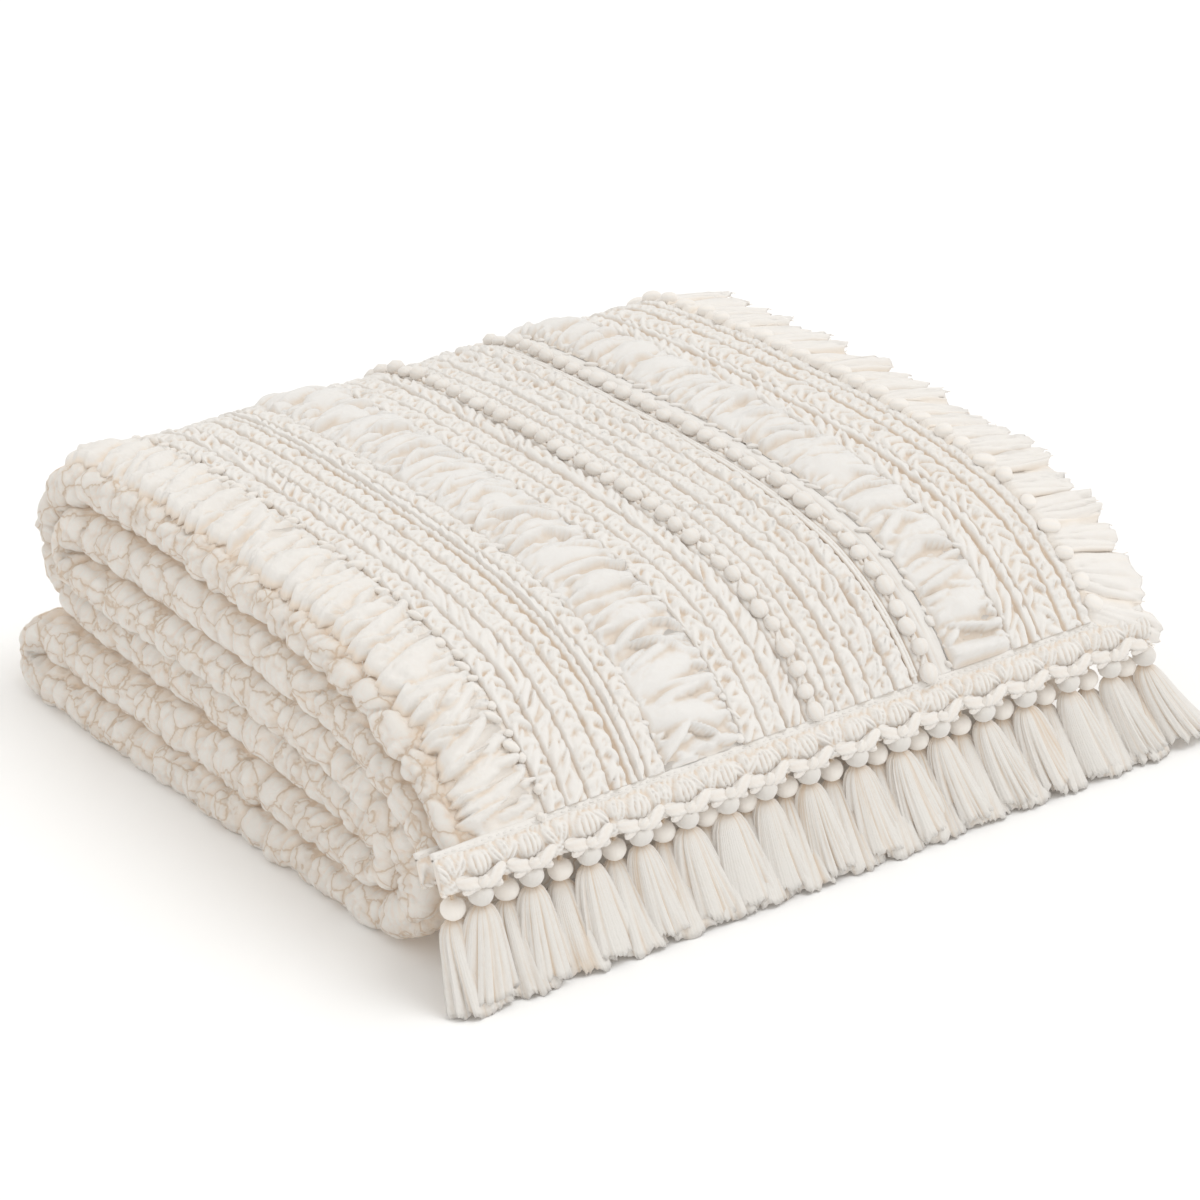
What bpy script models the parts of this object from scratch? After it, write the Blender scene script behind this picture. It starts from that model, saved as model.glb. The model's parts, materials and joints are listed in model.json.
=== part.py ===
"""Quilted bed runner with ruffles, trims and tassels, folded into a six-layer stack.

The runner is about 0.49 m wide and 2.6 m long. It is folded in half with both tasselled ends
together, then folded in three, so its long section is one back-and-forth line of six layers.
Stack frame while modelling: +X across the runner, +Y from the tassel side to the back folds,
+Z up, in metres. At the end everything is moved so that the origin is the box's bottom centre.
"""

import math

import bmesh
import bpy
import numpy as np
from mathutils import Vector

# Driving sizes, in metres
QUILT_THICKNESS = 0.022
END_THICKNESS = 0.012      # the quilt thins out towards its two hems
END_TAPER = 0.080
GAP = 0.0004               # between neighbouring pieces
CREST_HEIGHT = 0.166       # top of the upper layer's cloth
HEM_Y = -0.047             # where the upper hem hangs
BACK_TURN_Y = 0.350        # the upper layer starts to turn down here
HANG_PITCH = 0.0236        # from the first layer's middle to the second's, where both hang
HANG_END_PITCH = 0.0165
SECOND_HEM_SETBACK = 0.004
CHANNEL_DEPTH = 0.0012     # of the sewn channels along the quilt
TRIM_THICKNESS = 0.0028
STEP = 0.001               # spacing of the points that the fold line is worked out on

TASSELS = 16
FIRST_TASSEL_X = -0.230
TASSEL_PITCH = 0.0322
CORNER_TASSEL_X = -0.2427
HEAD_RADIUS = 0.0072
TASSEL_SIDES = 8

# How far the upper surface has dropped below the crest, towards the hanging front
DROOP = (
    {"y": HEM_Y, "drop": 0.0805},
    {"y": -0.029, "drop": 0.0585},
    {"y": -0.002, "drop": 0.0360},
    {"y": 0.026, "drop": 0.0213},
    {"y": 0.063, "drop": 0.0115},
    {"y": 0.100, "drop": 0.0055},
    {"y": 0.150, "drop": 0.0018},
    {"y": 0.210, "drop": 0.0000},
)
BACK_SAG_Y = 0.260         # behind this the top falls off a little
BACK_SAG = 0.45

# Height of each lying layer's middle at the front, the middle and the back
LEVEL_Y = (0.06, 0.20, 0.36)
LEVELS = {
    "third": (0.0895, 0.0960, 0.0935),
    "fourth": (0.0600, 0.0710, 0.0685),
    "fifth": (0.0355, 0.0390, 0.0400),
    "sixth": (0.0110, 0.0110, 0.0110),
}

# Where each layer's long edges lie: the layers shift a little on each other
EDGES = {
    "first": {"near_front": -0.240, "near_back": -0.233, "far_front": 0.243, "far_back": 0.232},
    "second": {"near_front": -0.245, "near_back": -0.239, "far_front": 0.238, "far_back": 0.235},
    "third": {"near_front": -0.240, "near_back": -0.246, "far_front": 0.240, "far_back": 0.234},
    "fourth": {"near_front": -0.237, "near_back": -0.241, "far_front": 0.241, "far_back": 0.236},
    "fifth": {"near_front": -0.239, "near_back": -0.250, "far_front": 0.240, "far_back": 0.232},
    "sixth": {"near_front": -0.240, "near_back": -0.256, "far_front": 0.242, "far_back": 0.231},
}

# The folds: where the two layers start to turn, and the nose of the turn
FOLDS = {
    "outer_back": {"y_upper": BACK_TURN_Y, "y_lower": 0.358, "nose_y": 0.4070, "nose_z": 0.1110},
    "inner_front": {"y_upper": 0.046, "y_lower": 0.041, "nose_y": 0.0290, "nose_z": 0.0475},
    "low_back": {"y_upper": 0.395, "y_lower": 0.395, "nose_y": 0.4140, "nose_z": 0.0255},
    "outer_front": {"y_upper": 0.095, "y_lower": 0.040, "nose_y": -0.0070, "nose_z": 0.0390},
    "inner_back": {"y_upper": 0.364, "y_lower": 0.366, "nose_y": 0.3805, "nose_z": 0.1065},
}

# Strips sewn along the runner, as shares of its width from the near edge
STRIPS = {
    "corded_trim_near": (0.129, 0.297),
    "ruched_band_near": (0.299, 0.409),
    "bobble_trim_centre": (0.411, 0.730),
    "ruched_band_far": (0.732, 0.824),
    "corded_trim_far": (0.826, 0.955),
}
STRIP_CROWN = {"corded": 0.0006, "ruched": 0.0022, "bobble": 0.0012}

# Sideways shift of each front tassel from an even row, and of its foot from its head
TASSEL_SHIFT_MM = (1, 2, 8, 11, 11, 7, 2, 1, 4, 3, 1, 3, 3, 5, 6, 2)
TASSEL_LEAN_MM = (-3, 4, 8, 11, 13, 11, 10, 11, 13, 16, 19, 21, 20, 20, 24, 30)
BACK_TASSEL_SHIFT = 0.0046   # of each back tassel from midway between two front ones
BACK_TASSEL_LEAN = 0.004

# Where the heads and feet of each row of tassels are, and the width and depth of the feet
TASSEL_ROWS = {
    "front": {"head_y": -0.0590, "head_z": 0.0588, "foot_y": -0.0745, "wide": 0.0240, "deep": 0.0200},
    "back": {"head_y": -0.0455, "head_z": 0.0540, "foot_y": -0.0560, "wide": 0.0215, "deep": 0.0160},
}

# The hems: which end of the runner, and the depth and slope of the crocheted edging
HEMS = {
    "upper": {"end": 0, "depth": 0.0175, "slope": math.radians(65)},
    "lower": {"end": 1, "depth": 0.0125, "slope": math.radians(70)},
}
HEM_ENDS_X = (-0.2530, 0.2600)
BINDING_WIDTH = 0.0060
BINDING_SETBACK = 0.0002
BINDING_HEIGHT = 0.0022
EDGING_HALF_THICKNESS = 0.0014
EDGING_SCALLOP = 0.86        # depth of the edging between two shells
EDGING_OUTWARD = 0.0022      # from the hem's middle to the edging's top
EDGING_RAISED = 0.0020

# Ruffles, in rows from the seam to the raw edge. out: share of the way from the seam to the
# quilt's edge; rise and sink: height above the quilt, and share of its half thickness below;
# loose: how much of the wave it takes
RUFFLE_THICKNESS = 0.0016
RUFFLE_WAVE = {"pitch": 0.030, "height": 0.0042}
RUFFLES = {
    "ruffle_near": {"seam": 0.1275, "edge": 0.0, "rows": (
        {"out": 0.00, "rise": GAP, "sink": 0.00, "loose": 0.00},
        {"out": 0.27, "rise": 0.0012, "sink": 0.00, "loose": 0.35},
        {"out": 0.55, "rise": 0.0014, "sink": 0.00, "loose": 0.70},
        {"out": 0.83, "rise": 0.0007, "sink": 0.00, "loose": 1.00},
        {"out": 1.02, "rise": 0.0002, "sink": 0.22, "loose": 1.00},
    )},
    "ruffle_far": {"seam": 0.9565, "edge": 1.0, "rows": (
        {"out": 0.00, "rise": GAP, "sink": 0.00, "loose": 0.00},
        {"out": 0.55, "rise": 0.0008, "sink": 0.00, "loose": 0.40},
        {"out": 1.20, "rise": 0.0009, "sink": 0.04, "loose": 0.70},
        {"out": 2.00, "rise": 0.0, "sink": 0.12, "loose": 1.00},
        {"out": 2.75, "rise": 0.0, "sink": 0.38, "loose": 1.20},
    )},
}
NEAREST_FOLD = 0.0015        # a bend this close to a wave's crest gets no ring of its own

# The quilt's section: its sewn channels, the angles round its padded edges
CHANNELS = (0.129, 0.298, 0.410, 0.731, 0.825)
EDGE_ANGLES = tuple(math.radians(degrees) for degrees in (90, 54, 18, -18, -54, -90))
LYING_FLAT = -0.999          # upward direction of the layer that lies on the floor

# Where the upper and lower stretches of the trims start and end on the folds
TOP_START = 0.0075
RUFFLE_END_Y = 0.392
UPPER_END = {"y": 0.38, "z": 0.082}
LOW_START_Y = 0.388
LOW_END = {"y": 0.40, "z": 0.0205}
MOST_TURN = math.radians(16)
LONGEST_STATION = 0.09

# Tassel rings, from the top of the head to the neck, as shares of the head's radius
HEAD_RINGS = ({"up": 0.96, "wide": 0.30}, {"up": 0.0, "wide": 1.0}, {"up": -0.85, "wide": 0.72})
SKIRT_MIDDLE = 0.55          # share of the way from the head to the foot


# ---------------------------------------------------------------- fold line

def resample(points, step):
    """The same line with its points an even step apart."""
    run = np.r_[0, np.cumsum(np.linalg.norm(np.diff(points[:, :2], axis=0), axis=1))]
    wanted = np.linspace(0, run[-1], int(round(run[-1] / step)) + 1)
    return np.column_stack([np.interp(wanted, run, column) for column in points.T])


def soften(points, width):
    """Rounds the line's corners with a bell-shaped average of that width, ends held."""
    reach = int(4 * width / STEP)
    offsets = np.arange(-reach, reach + 1) * STEP
    bell = np.exp(-0.5 * (offsets / width) ** 2)
    bell /= bell.sum()
    before = 2 * points[0] - points[1:reach + 1][::-1]
    after = 2 * points[-1] - points[-reach - 1:-1][::-1]
    padded = np.vstack([before, points, after])
    return np.column_stack([np.convolve(column, bell, "valid") for column in padded.T])


def normals(points):
    """Unit tangents, and normals to their left, of a line in the Y-Z plane."""
    tangent = np.gradient(points[:, :2], axis=0)
    tangent /= np.linalg.norm(tangent, axis=1)[:, None]
    return tangent, np.column_stack([-tangent[:, 1], tangent[:, 0]])


def smooth_table(x, table_x, table_value):
    """Cubic through the rows of a table, flat after the last row."""
    slope = np.gradient(table_value, table_x)
    slope[-1] = 0
    row = np.clip(np.searchsorted(table_x, x) - 1, 0, len(table_x) - 2)
    width = table_x[row + 1] - table_x[row]
    t = np.clip((x - table_x[row]) / width, 0, 1)
    start = (2 * t ** 3 - 3 * t ** 2 + 1) * table_value[row]
    start += (t ** 3 - 2 * t ** 2 + t) * width * slope[row]
    end = (3 * t ** 2 - 2 * t ** 3) * table_value[row + 1]
    end += (t ** 3 - t ** 2) * width * slope[row + 1]
    return start + end


def ease(t):
    t = np.clip(t, 0, 1)
    return t * t * (3 - 2 * t)


def upper_surface():
    """Top of the first layer, from its hanging hem to the start of the back turn."""
    table_y = np.array([row["y"] for row in DROOP])
    table_drop = np.array([row["drop"] for row in DROOP])
    y = np.linspace(HEM_Y, BACK_TURN_Y + 0.01, 300)
    drop = smooth_table(y, table_y, table_drop)
    sag = BACK_SAG * np.clip(y - BACK_SAG_Y, 0, None) ** 2
    line = np.column_stack([y, CREST_HEIGHT - drop - sag])
    return soften(resample(line, STEP), 0.006)


def with_edges(line, layer, along=None):
    """Adds the layer's near and far edge to each point of its line."""
    if along is None:
        along = line[:, 0]
    share = np.clip((along - HEM_Y) / (BACK_TURN_Y - HEM_Y), 0, 1)
    edge = EDGES[layer]
    near = edge["near_front"] + share * (edge["near_back"] - edge["near_front"])
    far = edge["far_front"] + share * (edge["far_back"] - edge["far_front"])
    return np.column_stack([line, near, far])


def hanging_layers():
    """The two layers that end in a hem: the first under the top surface, the second below it."""
    top = upper_surface()
    _, up = normals(top)
    full = ease(np.arange(len(top)) * STEP / END_TAPER)
    half = 0.5 * (END_THICKNESS + (QUILT_THICKNESS - END_THICKNESS) * full)
    first = top - up * half[:, None]
    pitch = HANG_END_PITCH + (HANG_PITCH - HANG_END_PITCH) * full
    pitch += np.interp(top[:, 0], [0.05, 0.20, 0.36], [0, 0.0065, 0.0080])
    second = first - up * pitch[:, None]
    second = second[int(SECOND_HEM_SETBACK / STEP):]
    first = first[first[:, 0] <= FOLDS["outer_back"]["y_upper"]]
    second = second[second[:, 0] <= FOLDS["inner_back"]["y_upper"]]
    return with_edges(first, "first"), with_edges(second, "second")


def lying_layer(layer, y_from, y_to):
    y = np.linspace(y_from, y_to, 80)
    line = np.column_stack([y, np.interp(y, LEVEL_Y, LEVELS[layer])])
    return with_edges(line, layer)


def turn(before, after, fold):
    """Two quarter ellipses from the end of one layer, by the fold's nose, to the next layer."""
    angle = np.linspace(0, math.pi / 2, 24)
    nose = np.array([fold["nose_y"], fold["nose_z"]])
    edges = 0.5 * (before[2:] + after[2:])
    quarters = []
    for layer_end in (before, after):
        line = np.column_stack([
            layer_end[0] + (nose[0] - layer_end[0]) * np.sin(angle),
            nose[1] + (layer_end[1] - nose[1]) * np.cos(angle),
        ])
        blend = np.linspace(0, 1, len(angle))[:, None]
        quarters.append(np.hstack([line, (1 - blend) * layer_end[2:] + blend * edges]))
    return np.vstack([quarters[0], quarters[1][::-1][1:]])


def fold_line():
    """The middle of the quilt from one hem to the other: columns y, z, near edge, far edge."""
    first, second = hanging_layers()
    fourth = lying_layer("fourth", FOLDS["outer_back"]["y_lower"], FOLDS["inner_front"]["y_upper"])
    fifth = lying_layer("fifth", FOLDS["inner_front"]["y_lower"], FOLDS["low_back"]["y_upper"])
    sixth = lying_layer("sixth", FOLDS["low_back"]["y_lower"], FOLDS["outer_front"]["y_lower"])
    third = lying_layer("third", FOLDS["outer_front"]["y_upper"], FOLDS["inner_back"]["y_lower"])
    pieces = [
        first,
        turn(first[-1], fourth[0], FOLDS["outer_back"]),
        fourth,
        turn(fourth[-1], fifth[0], FOLDS["inner_front"]),
        fifth,
        turn(fifth[-1], sixth[0], FOLDS["low_back"]),
        sixth,
        turn(sixth[-1], third[0], FOLDS["outer_front"]),
        third,
        turn(third[-1], second[-1], FOLDS["inner_back"]),
        second[::-1],
    ]
    line = np.vstack(pieces)
    apart = np.linalg.norm(np.diff(line[:, :2], axis=0), axis=1) > 1e-5
    line = resample(line[np.r_[True, apart]], STEP)
    return resample(soften(line, 0.0045), STEP)


class Quilt:
    """Turns a place along the runner, across it and above its middle into a point."""

    def __init__(self):
        self.line = fold_line()
        self.tangent, self.up = normals(self.line)
        self.length = STEP * (len(self.line) - 1)
        self.run = np.arange(len(self.line)) * STEP
        from_end = np.minimum(self.run, self.length - self.run)
        full = ease(from_end / END_TAPER)
        thick = END_THICKNESS + (QUILT_THICKNESS - END_THICKNESS) * full
        bend = np.linalg.norm(np.gradient(self.tangent, axis=0), axis=1) / STEP
        tight = 2 * (1 / np.maximum(bend, 1) - 0.0012)   # padding squeezed inside a tight fold
        thick = np.minimum(thick, tight)
        self.thick = np.minimum(thick, soften(thick[:, None], 0.005)[:, 0])

    def at(self, run, column):
        return float(np.interp(run, self.run, column))

    def point(self, run, x, height):
        y = self.at(run, self.line[:, 0]) + height * self.at(run, self.up[:, 0])
        z = self.at(run, self.line[:, 1]) + height * self.at(run, self.up[:, 1])
        return (x, y, z)

    def half(self, run):
        return 0.5 * self.at(run, self.thick)

    def across(self, run, share):
        """X at a share of the width from the near edge."""
        near = self.at(run, self.line[:, 2])
        far = self.at(run, self.line[:, 3])
        return near + share * (far - near)

    def stations(self, most_turn, longest):
        """Places along the runner that follow its bends, never further apart than longest."""
        found = [0.0]
        turned = 0.0
        for i in range(1, len(self.run) - 1):
            cosine = float(np.clip(self.tangent[i] @ self.tangent[i - 1], -1, 1))
            turned += math.acos(cosine)
            if turned > most_turn or self.run[i] - found[-1] > longest:
                found.append(float(self.run[i]))
                turned = 0.0
        if self.length - found[-1] < 0.004:
            found.pop()
        return found + [self.length]

    def between(self, start, end):
        """The stations from start to end, with start and end added where none is close."""
        close = 0.003
        found = [float(run) for run in self.run if start < run < end]
        if found[0] - start > close:
            found.insert(0, start)
        if end - found[-1] > close:
            found.append(end)
        return found

    def run_where(self, test):
        """The first place along the runner whose run, y and z pass a test."""
        for i, (y, z) in enumerate(self.line[:, :2]):
            if test(i * STEP, y, z):
                return i * STEP
        return self.length

    def coarsen(self, stations):
        """Keeps only the stations, so that every piece follows the same flat facets."""
        for name in ("line", "up", "thick"):
            column = getattr(self, name)
            if column.ndim == 1:
                column = np.interp(stations, self.run, column)
            else:
                column = np.column_stack([np.interp(stations, self.run, c) for c in column.T])
            setattr(self, name, column)
        self.run = np.array(stations)


# ---------------------------------------------------------------- mesh helpers

def material(name, colour, roughness):
    made = bpy.data.materials.new(name)
    made.use_nodes = True
    shader = made.node_tree.nodes["Principled BSDF"]
    shader.inputs["Base Color"].default_value = (*colour, 1.0)
    shader.inputs["Roughness"].default_value = roughness
    shader.inputs["Metallic"].default_value = 0.0
    return made


def add_object(name, rings, finish, smooth=True):
    """One closed body through a row of rings with equal point counts, capped at both ends."""
    mesh = bpy.data.meshes.new(name)
    shape = bmesh.new()
    loops = [[shape.verts.new(point) for point in ring] for ring in rings]
    count = len(loops[0])
    for this, following in zip(loops, loops[1:]):
        for i in range(count):
            j = (i + 1) % count
            shape.faces.new((this[i], this[j], following[j], following[i]))
    shape.faces.new(loops[0][::-1])
    shape.faces.new(loops[-1])
    bmesh.ops.recalc_face_normals(shape, faces=shape.faces)
    bmesh.ops.triangulate(shape, faces=shape.faces)
    shape.to_mesh(mesh)
    shape.free()
    if smooth:
        mesh.shade_smooth()
    mesh.materials.append(finish)
    made = bpy.data.objects.new(name, mesh)
    bpy.context.scene.collection.objects.link(made)
    return made


# ---------------------------------------------------------------- the pieces

def quilt_ring(quilt, run):
    """Section across the quilt: round padded edges, shallow sewn channels between crowns."""
    half = quilt.half(run)
    near = quilt.across(run, 0)
    far = quilt.across(run, 1)
    up_z = quilt.at(run, quilt.up[:, 1])
    lies_flat = up_z < LYING_FLAT and quilt.at(run, quilt.line[:, 1]) < QUILT_THICKNESS
    marks = [(share, -CHANNEL_DEPTH) for share in CHANNELS]
    marks += [(0.5 * (a + b), 0.0) for a, b in zip(CHANNELS, CHANNELS[1:])]
    marks.sort()
    ring = []
    for angle in EDGE_ANGLES:
        ring.append(quilt.point(run, near + half - half * math.cos(angle), half * math.sin(angle)))
    for share, depth in marks:
        ring.append(quilt.point(run, quilt.across(run, share), -half - depth))
    for angle in EDGE_ANGLES[::-1]:
        ring.append(quilt.point(run, far - half + half * math.cos(angle), half * math.sin(angle)))
    for share, depth in marks[::-1]:
        ring.append(quilt.point(run, quilt.across(run, share), half + (0 if lies_flat else depth)))
    return ring


def quilted_body(quilt, finish):
    return add_object("quilted_body", [quilt_ring(quilt, run) for run in quilt.run], finish)


def strip(quilt, name, shares, start, end, crown, finish):
    """A flat trim with a slightly crowned top, on the quilt's decorated side."""
    rings = []
    for run in quilt.between(start, end):
        low = quilt.half(run) + GAP
        left = quilt.across(run, shares[0])
        right = quilt.across(run, shares[1])
        middle = 0.5 * (left + right)
        rings.append([
            quilt.point(run, left, low),
            quilt.point(run, right, low),
            quilt.point(run, right, low + TRIM_THICKNESS),
            quilt.point(run, middle, low + TRIM_THICKNESS + crown),
            quilt.point(run, left, low + TRIM_THICKNESS),
        ])
    return add_object(name, rings, finish)


def ruffle(quilt, name, profile, start, end, finish):
    """A gathered sheet along a long edge: its profile rises and falls more towards its raw edge."""
    count = 2 * int((end - start) / RUFFLE_WAVE["pitch"])
    wave_runs = np.linspace(start, end, count + 1)
    wave_swing = RUFFLE_WAVE["height"] * (np.arange(count + 1) % 2)
    folds = []
    for run in quilt.run:
        if start < run < end and np.abs(wave_runs - run).min() > NEAREST_FOLD:
            folds.append(run)
    rings = []
    for run in sorted([*wave_runs, *folds]):
        swing = float(np.interp(run, wave_runs, wave_swing))
        top = quilt.half(run)
        seam = quilt.across(run, profile["seam"])
        edge = quilt.across(run, profile["edge"])
        under = []
        over = []
        for row in profile["rows"]:
            x = seam + row["out"] * (edge - seam)
            height = top + row["rise"] - row["sink"] * top + row["loose"] * swing
            under.append(quilt.point(run, x, height))
            over.append(quilt.point(run, x, height + RUFFLE_THICKNESS))
        rings.append(under + over[::-1])
    return add_object(name, rings, finish)


def hem_section(quilt, end):
    """The hem's middle, its outward direction and its decorated side, at end 0 or 1."""
    i = 0 if end == 0 else -1
    middle = quilt.line[i, :2]
    outward = -quilt.tangent[0] if end == 0 else quilt.tangent[-1]
    side = quilt.up[i] if end == 0 else -quilt.up[i]
    return middle, outward, side


def binding(quilt, name, end, finish):
    """The narrow folded strip sewn over the hem, on its upper side."""
    hem = 0.0 if end == 0 else quilt.length
    inward = 1 if end == 0 else -1
    outer = hem + inward * BINDING_SETBACK
    inner = outer + inward * BINDING_WIDTH
    corners = ((inner, GAP), (outer, GAP), (outer, BINDING_HEIGHT), (inner, BINDING_HEIGHT))
    rings = []
    for x in HEM_ENDS_X:
        ring = []
        for run, height in corners:
            ring.append(quilt.point(run, x, inward * (quilt.half(run) + height)))
        rings.append(ring)
    return add_object(name, rings, finish, smooth=False)


def edging(quilt, name, hem, finish):
    """The crocheted band under the hem, with a shell-shaped lower edge."""
    middle, outward, side = hem_section(quilt, hem["end"])
    near, far = HEM_ENDS_X
    down = np.array([-math.cos(hem["slope"]), -math.sin(hem["slope"])])
    out = np.array([-math.sin(hem["slope"]), math.cos(hem["slope"])])
    top = middle + outward * EDGING_OUTWARD + side * EDGING_RAISED
    thick = EDGING_HALF_THICKNESS
    columns = 2 * TASSELS
    rings = []
    for i in range(columns + 1):
        x = near + (far - near) * i / columns
        length = hem["depth"] * (1.0 if i % 2 else EDGING_SCALLOP)
        ring = []
        for along, height in ((0, -thick), (length, -thick), (length, thick), (0, thick)):
            point = top + down * along + out * height
            ring.append((x, point[0], point[1]))
        rings.append(ring)
    return add_object(name, rings, finish, smooth=False)


def tassel(name, x, lean, row, finish):
    """A round bound head over a skirt that flares down to the surface it stands on."""
    head = Vector((x, row["head_y"], row["head_z"]))
    foot = Vector((x + lean, row["foot_y"], 0.0))
    sections = []
    for ring in HEAD_RINGS:
        wide = HEAD_RADIUS * ring["wide"]
        sections.append((head + Vector((0, 0, HEAD_RADIUS * ring["up"])), wide, wide))
    neck = sections[-1][1]
    foot_wide = 0.5 * row["wide"]
    foot_deep = 0.5 * row["deep"]
    sections.append((head.lerp(foot, SKIRT_MIDDLE), 0.5 * (neck + foot_wide), 0.5 * (neck + foot_deep)))
    sections.append((foot, foot_wide, foot_deep))
    rings = []
    for centre, wide, deep in sections:
        ring = []
        for k in range(TASSEL_SIDES):
            angle = 2 * math.pi * (k + 0.5) / TASSEL_SIDES
            ring.append((centre.x + wide * math.cos(angle), centre.y + deep * math.sin(angle), centre.z))
        rings.append(ring)
    return add_object(name, rings, finish)


def tassel_places():
    """X and lean of each front tassel, and of each tassel in the row behind, between them."""
    front = [
        FIRST_TASSEL_X + TASSEL_PITCH * i + 0.001 * TASSEL_SHIFT_MM[i]
        for i in range(TASSELS)
    ]
    behind = [CORNER_TASSEL_X]
    behind += [0.5 * (a + b) + BACK_TASSEL_SHIFT for a, b in zip(front, front[1:])]
    leans = [0.001 * lean for lean in TASSEL_LEAN_MM]
    return {
        "front": list(zip(front, leans)),
        "back": [(x, BACK_TASSEL_LEAN) for x in behind],
    }


# ---------------------------------------------------------------- build

def centre_on_base(objects):
    """Moves every mesh so that the origin is the bottom centre of the whole object's box."""
    corners = [vertex.co for item in objects for vertex in item.data.vertices]
    low = Vector([min(c[k] for c in corners) for k in range(3)])
    high = Vector([max(c[k] for c in corners) for k in range(3)])
    shift = Vector((-(low.x + high.x) / 2, -(low.y + high.y) / 2, -low.z))
    for item in objects:
        for vertex in item.data.vertices:
            vertex.co += shift
        item.data.update()


def build():
    for item in list(bpy.data.objects):
        bpy.data.objects.remove(item, do_unlink=True)
    quilt = Quilt()
    cotton = material("quilt_cotton", (0.80, 0.755, 0.70), 0.9)
    frill = material("ruffle_cotton", (0.84, 0.80, 0.755), 0.88)
    cord = material("trim_cord", (0.82, 0.775, 0.72), 0.9)
    ruched = material("ruched_cotton", (0.83, 0.80, 0.76), 0.85)
    crochet = material("crochet_yarn", (0.84, 0.80, 0.755), 0.92)
    yarn = material("tassel_yarn", (0.86, 0.825, 0.785), 0.9)

    upper_end = quilt.run_where(lambda s, y, z: s > 0.40 and y > UPPER_END["y"] and z < UPPER_END["z"])
    low_start = quilt.run_where(lambda s, y, z: s > 1.0 and y > LOW_START_Y)
    low_end = quilt.run_where(lambda s, y, z: s > 1.0 and y > LOW_END["y"] and z < LOW_END["z"])
    ruffle_end = quilt.run_where(lambda s, y, z: s > 0.30 and y > RUFFLE_END_Y)
    quilt.coarsen(quilt.stations(MOST_TURN, LONGEST_STATION))

    made = [quilted_body(quilt, cotton)]
    for name, shares in STRIPS.items():
        kind = name.split("_")[0]
        finish = ruched if kind == "ruched" else cord
        made.append(strip(quilt, name, shares, TOP_START, upper_end, STRIP_CROWN[kind], finish))
        made.append(strip(quilt, name + "_low", shares, low_start, low_end, STRIP_CROWN[kind], finish))
    for name, profile in RUFFLES.items():
        made.append(ruffle(quilt, name, profile, TOP_START, ruffle_end, frill))
    for name, hem in HEMS.items():
        made.append(binding(quilt, f"hem_binding_{name}", hem["end"], frill))
        made.append(edging(quilt, f"crochet_edging_{name}", hem, crochet))
    for row, places in tassel_places().items():
        for i, (x, lean) in enumerate(places):
            made.append(tassel(f"tassel_{row}_{i + 1:02d}", x, lean, TASSEL_ROWS[row], yarn))

    centre_on_base(made)


build()
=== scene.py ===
# %% [markdown]
# # A folded bed runner
# A cream cotton bed runner, about half a metre wide and two and a half metres long, lies folded
# into six layers. Its decorated side carries pipings, ruched bands and crocheted trims, and its
# two tasselled ends hang together over the front of the stack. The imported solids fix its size
# and folds, and this lesson makes its looks around them.

# %% Load the frame
import json
import math

import bpy
import numpy as np
from mathutils import Matrix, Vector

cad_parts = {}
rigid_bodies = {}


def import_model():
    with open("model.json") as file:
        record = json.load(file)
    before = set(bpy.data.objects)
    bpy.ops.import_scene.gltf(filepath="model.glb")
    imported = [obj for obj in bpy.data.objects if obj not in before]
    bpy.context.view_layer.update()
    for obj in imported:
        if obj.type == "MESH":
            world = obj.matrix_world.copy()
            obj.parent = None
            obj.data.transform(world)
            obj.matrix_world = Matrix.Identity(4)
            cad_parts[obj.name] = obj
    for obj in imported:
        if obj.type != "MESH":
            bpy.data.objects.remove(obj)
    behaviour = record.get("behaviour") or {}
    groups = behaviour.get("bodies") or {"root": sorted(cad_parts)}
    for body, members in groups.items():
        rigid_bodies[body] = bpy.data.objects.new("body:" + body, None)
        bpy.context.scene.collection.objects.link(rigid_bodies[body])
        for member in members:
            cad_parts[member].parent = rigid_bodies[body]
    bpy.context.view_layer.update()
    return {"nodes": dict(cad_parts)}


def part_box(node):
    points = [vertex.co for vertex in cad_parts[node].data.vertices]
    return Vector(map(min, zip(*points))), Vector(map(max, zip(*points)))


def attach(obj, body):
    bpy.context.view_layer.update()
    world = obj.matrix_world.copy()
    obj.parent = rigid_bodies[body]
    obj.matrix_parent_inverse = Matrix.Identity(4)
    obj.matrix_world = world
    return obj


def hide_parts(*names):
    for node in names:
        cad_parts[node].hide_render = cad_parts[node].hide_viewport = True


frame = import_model()
print("frame loaded:", len(frame["nodes"]), "nodes")

# %% [markdown]
# ## The stage
# White bedding is best shown in a soft, bright, almost shadowless light, on a pale floor that runs
# up without a horizon. A large plane is the floor, and the world's own pale light fills the
# shadows, while one large soft lamp gives the folds their shape.

# %% Camera
AZIMUTH = math.radians(-36.10)
ELEVATION = math.radians(25.99)
DISTANCE = 2.453
LENS = 120.0
AIM_FROM_CORNER = (0.0, 0.2, 0.07)   # in the stack's own frame, before it was centred
AIM_RIGHT = 0.0307
AIM_UP = 0.0018


def view_axes(azimuth, elevation):
    """The camera's right, up and backward directions for an azimuth and an elevation."""
    right = np.array([math.cos(azimuth), math.sin(azimuth), 0.0])
    back = np.array([
        math.sin(azimuth) * math.cos(elevation),
        -math.cos(azimuth) * math.cos(elevation),
        math.sin(elevation),
    ])
    return right, np.cross(back, right), back


# The first tassel's solid tells how far the stack was moved when it was centred.
tassel_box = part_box("tassel_front_01")
FIRST_FOOT = (-0.2320, -0.08374)     # the foot's middle in X, and its front in Y
SHIFT = np.array([
    0.5 * (tassel_box[0][0] + tassel_box[1][0]) - FIRST_FOOT[0],
    tassel_box[0][1] - FIRST_FOOT[1],
    0.0,
])
print("stack moved by", SHIFT.round(4))

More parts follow.
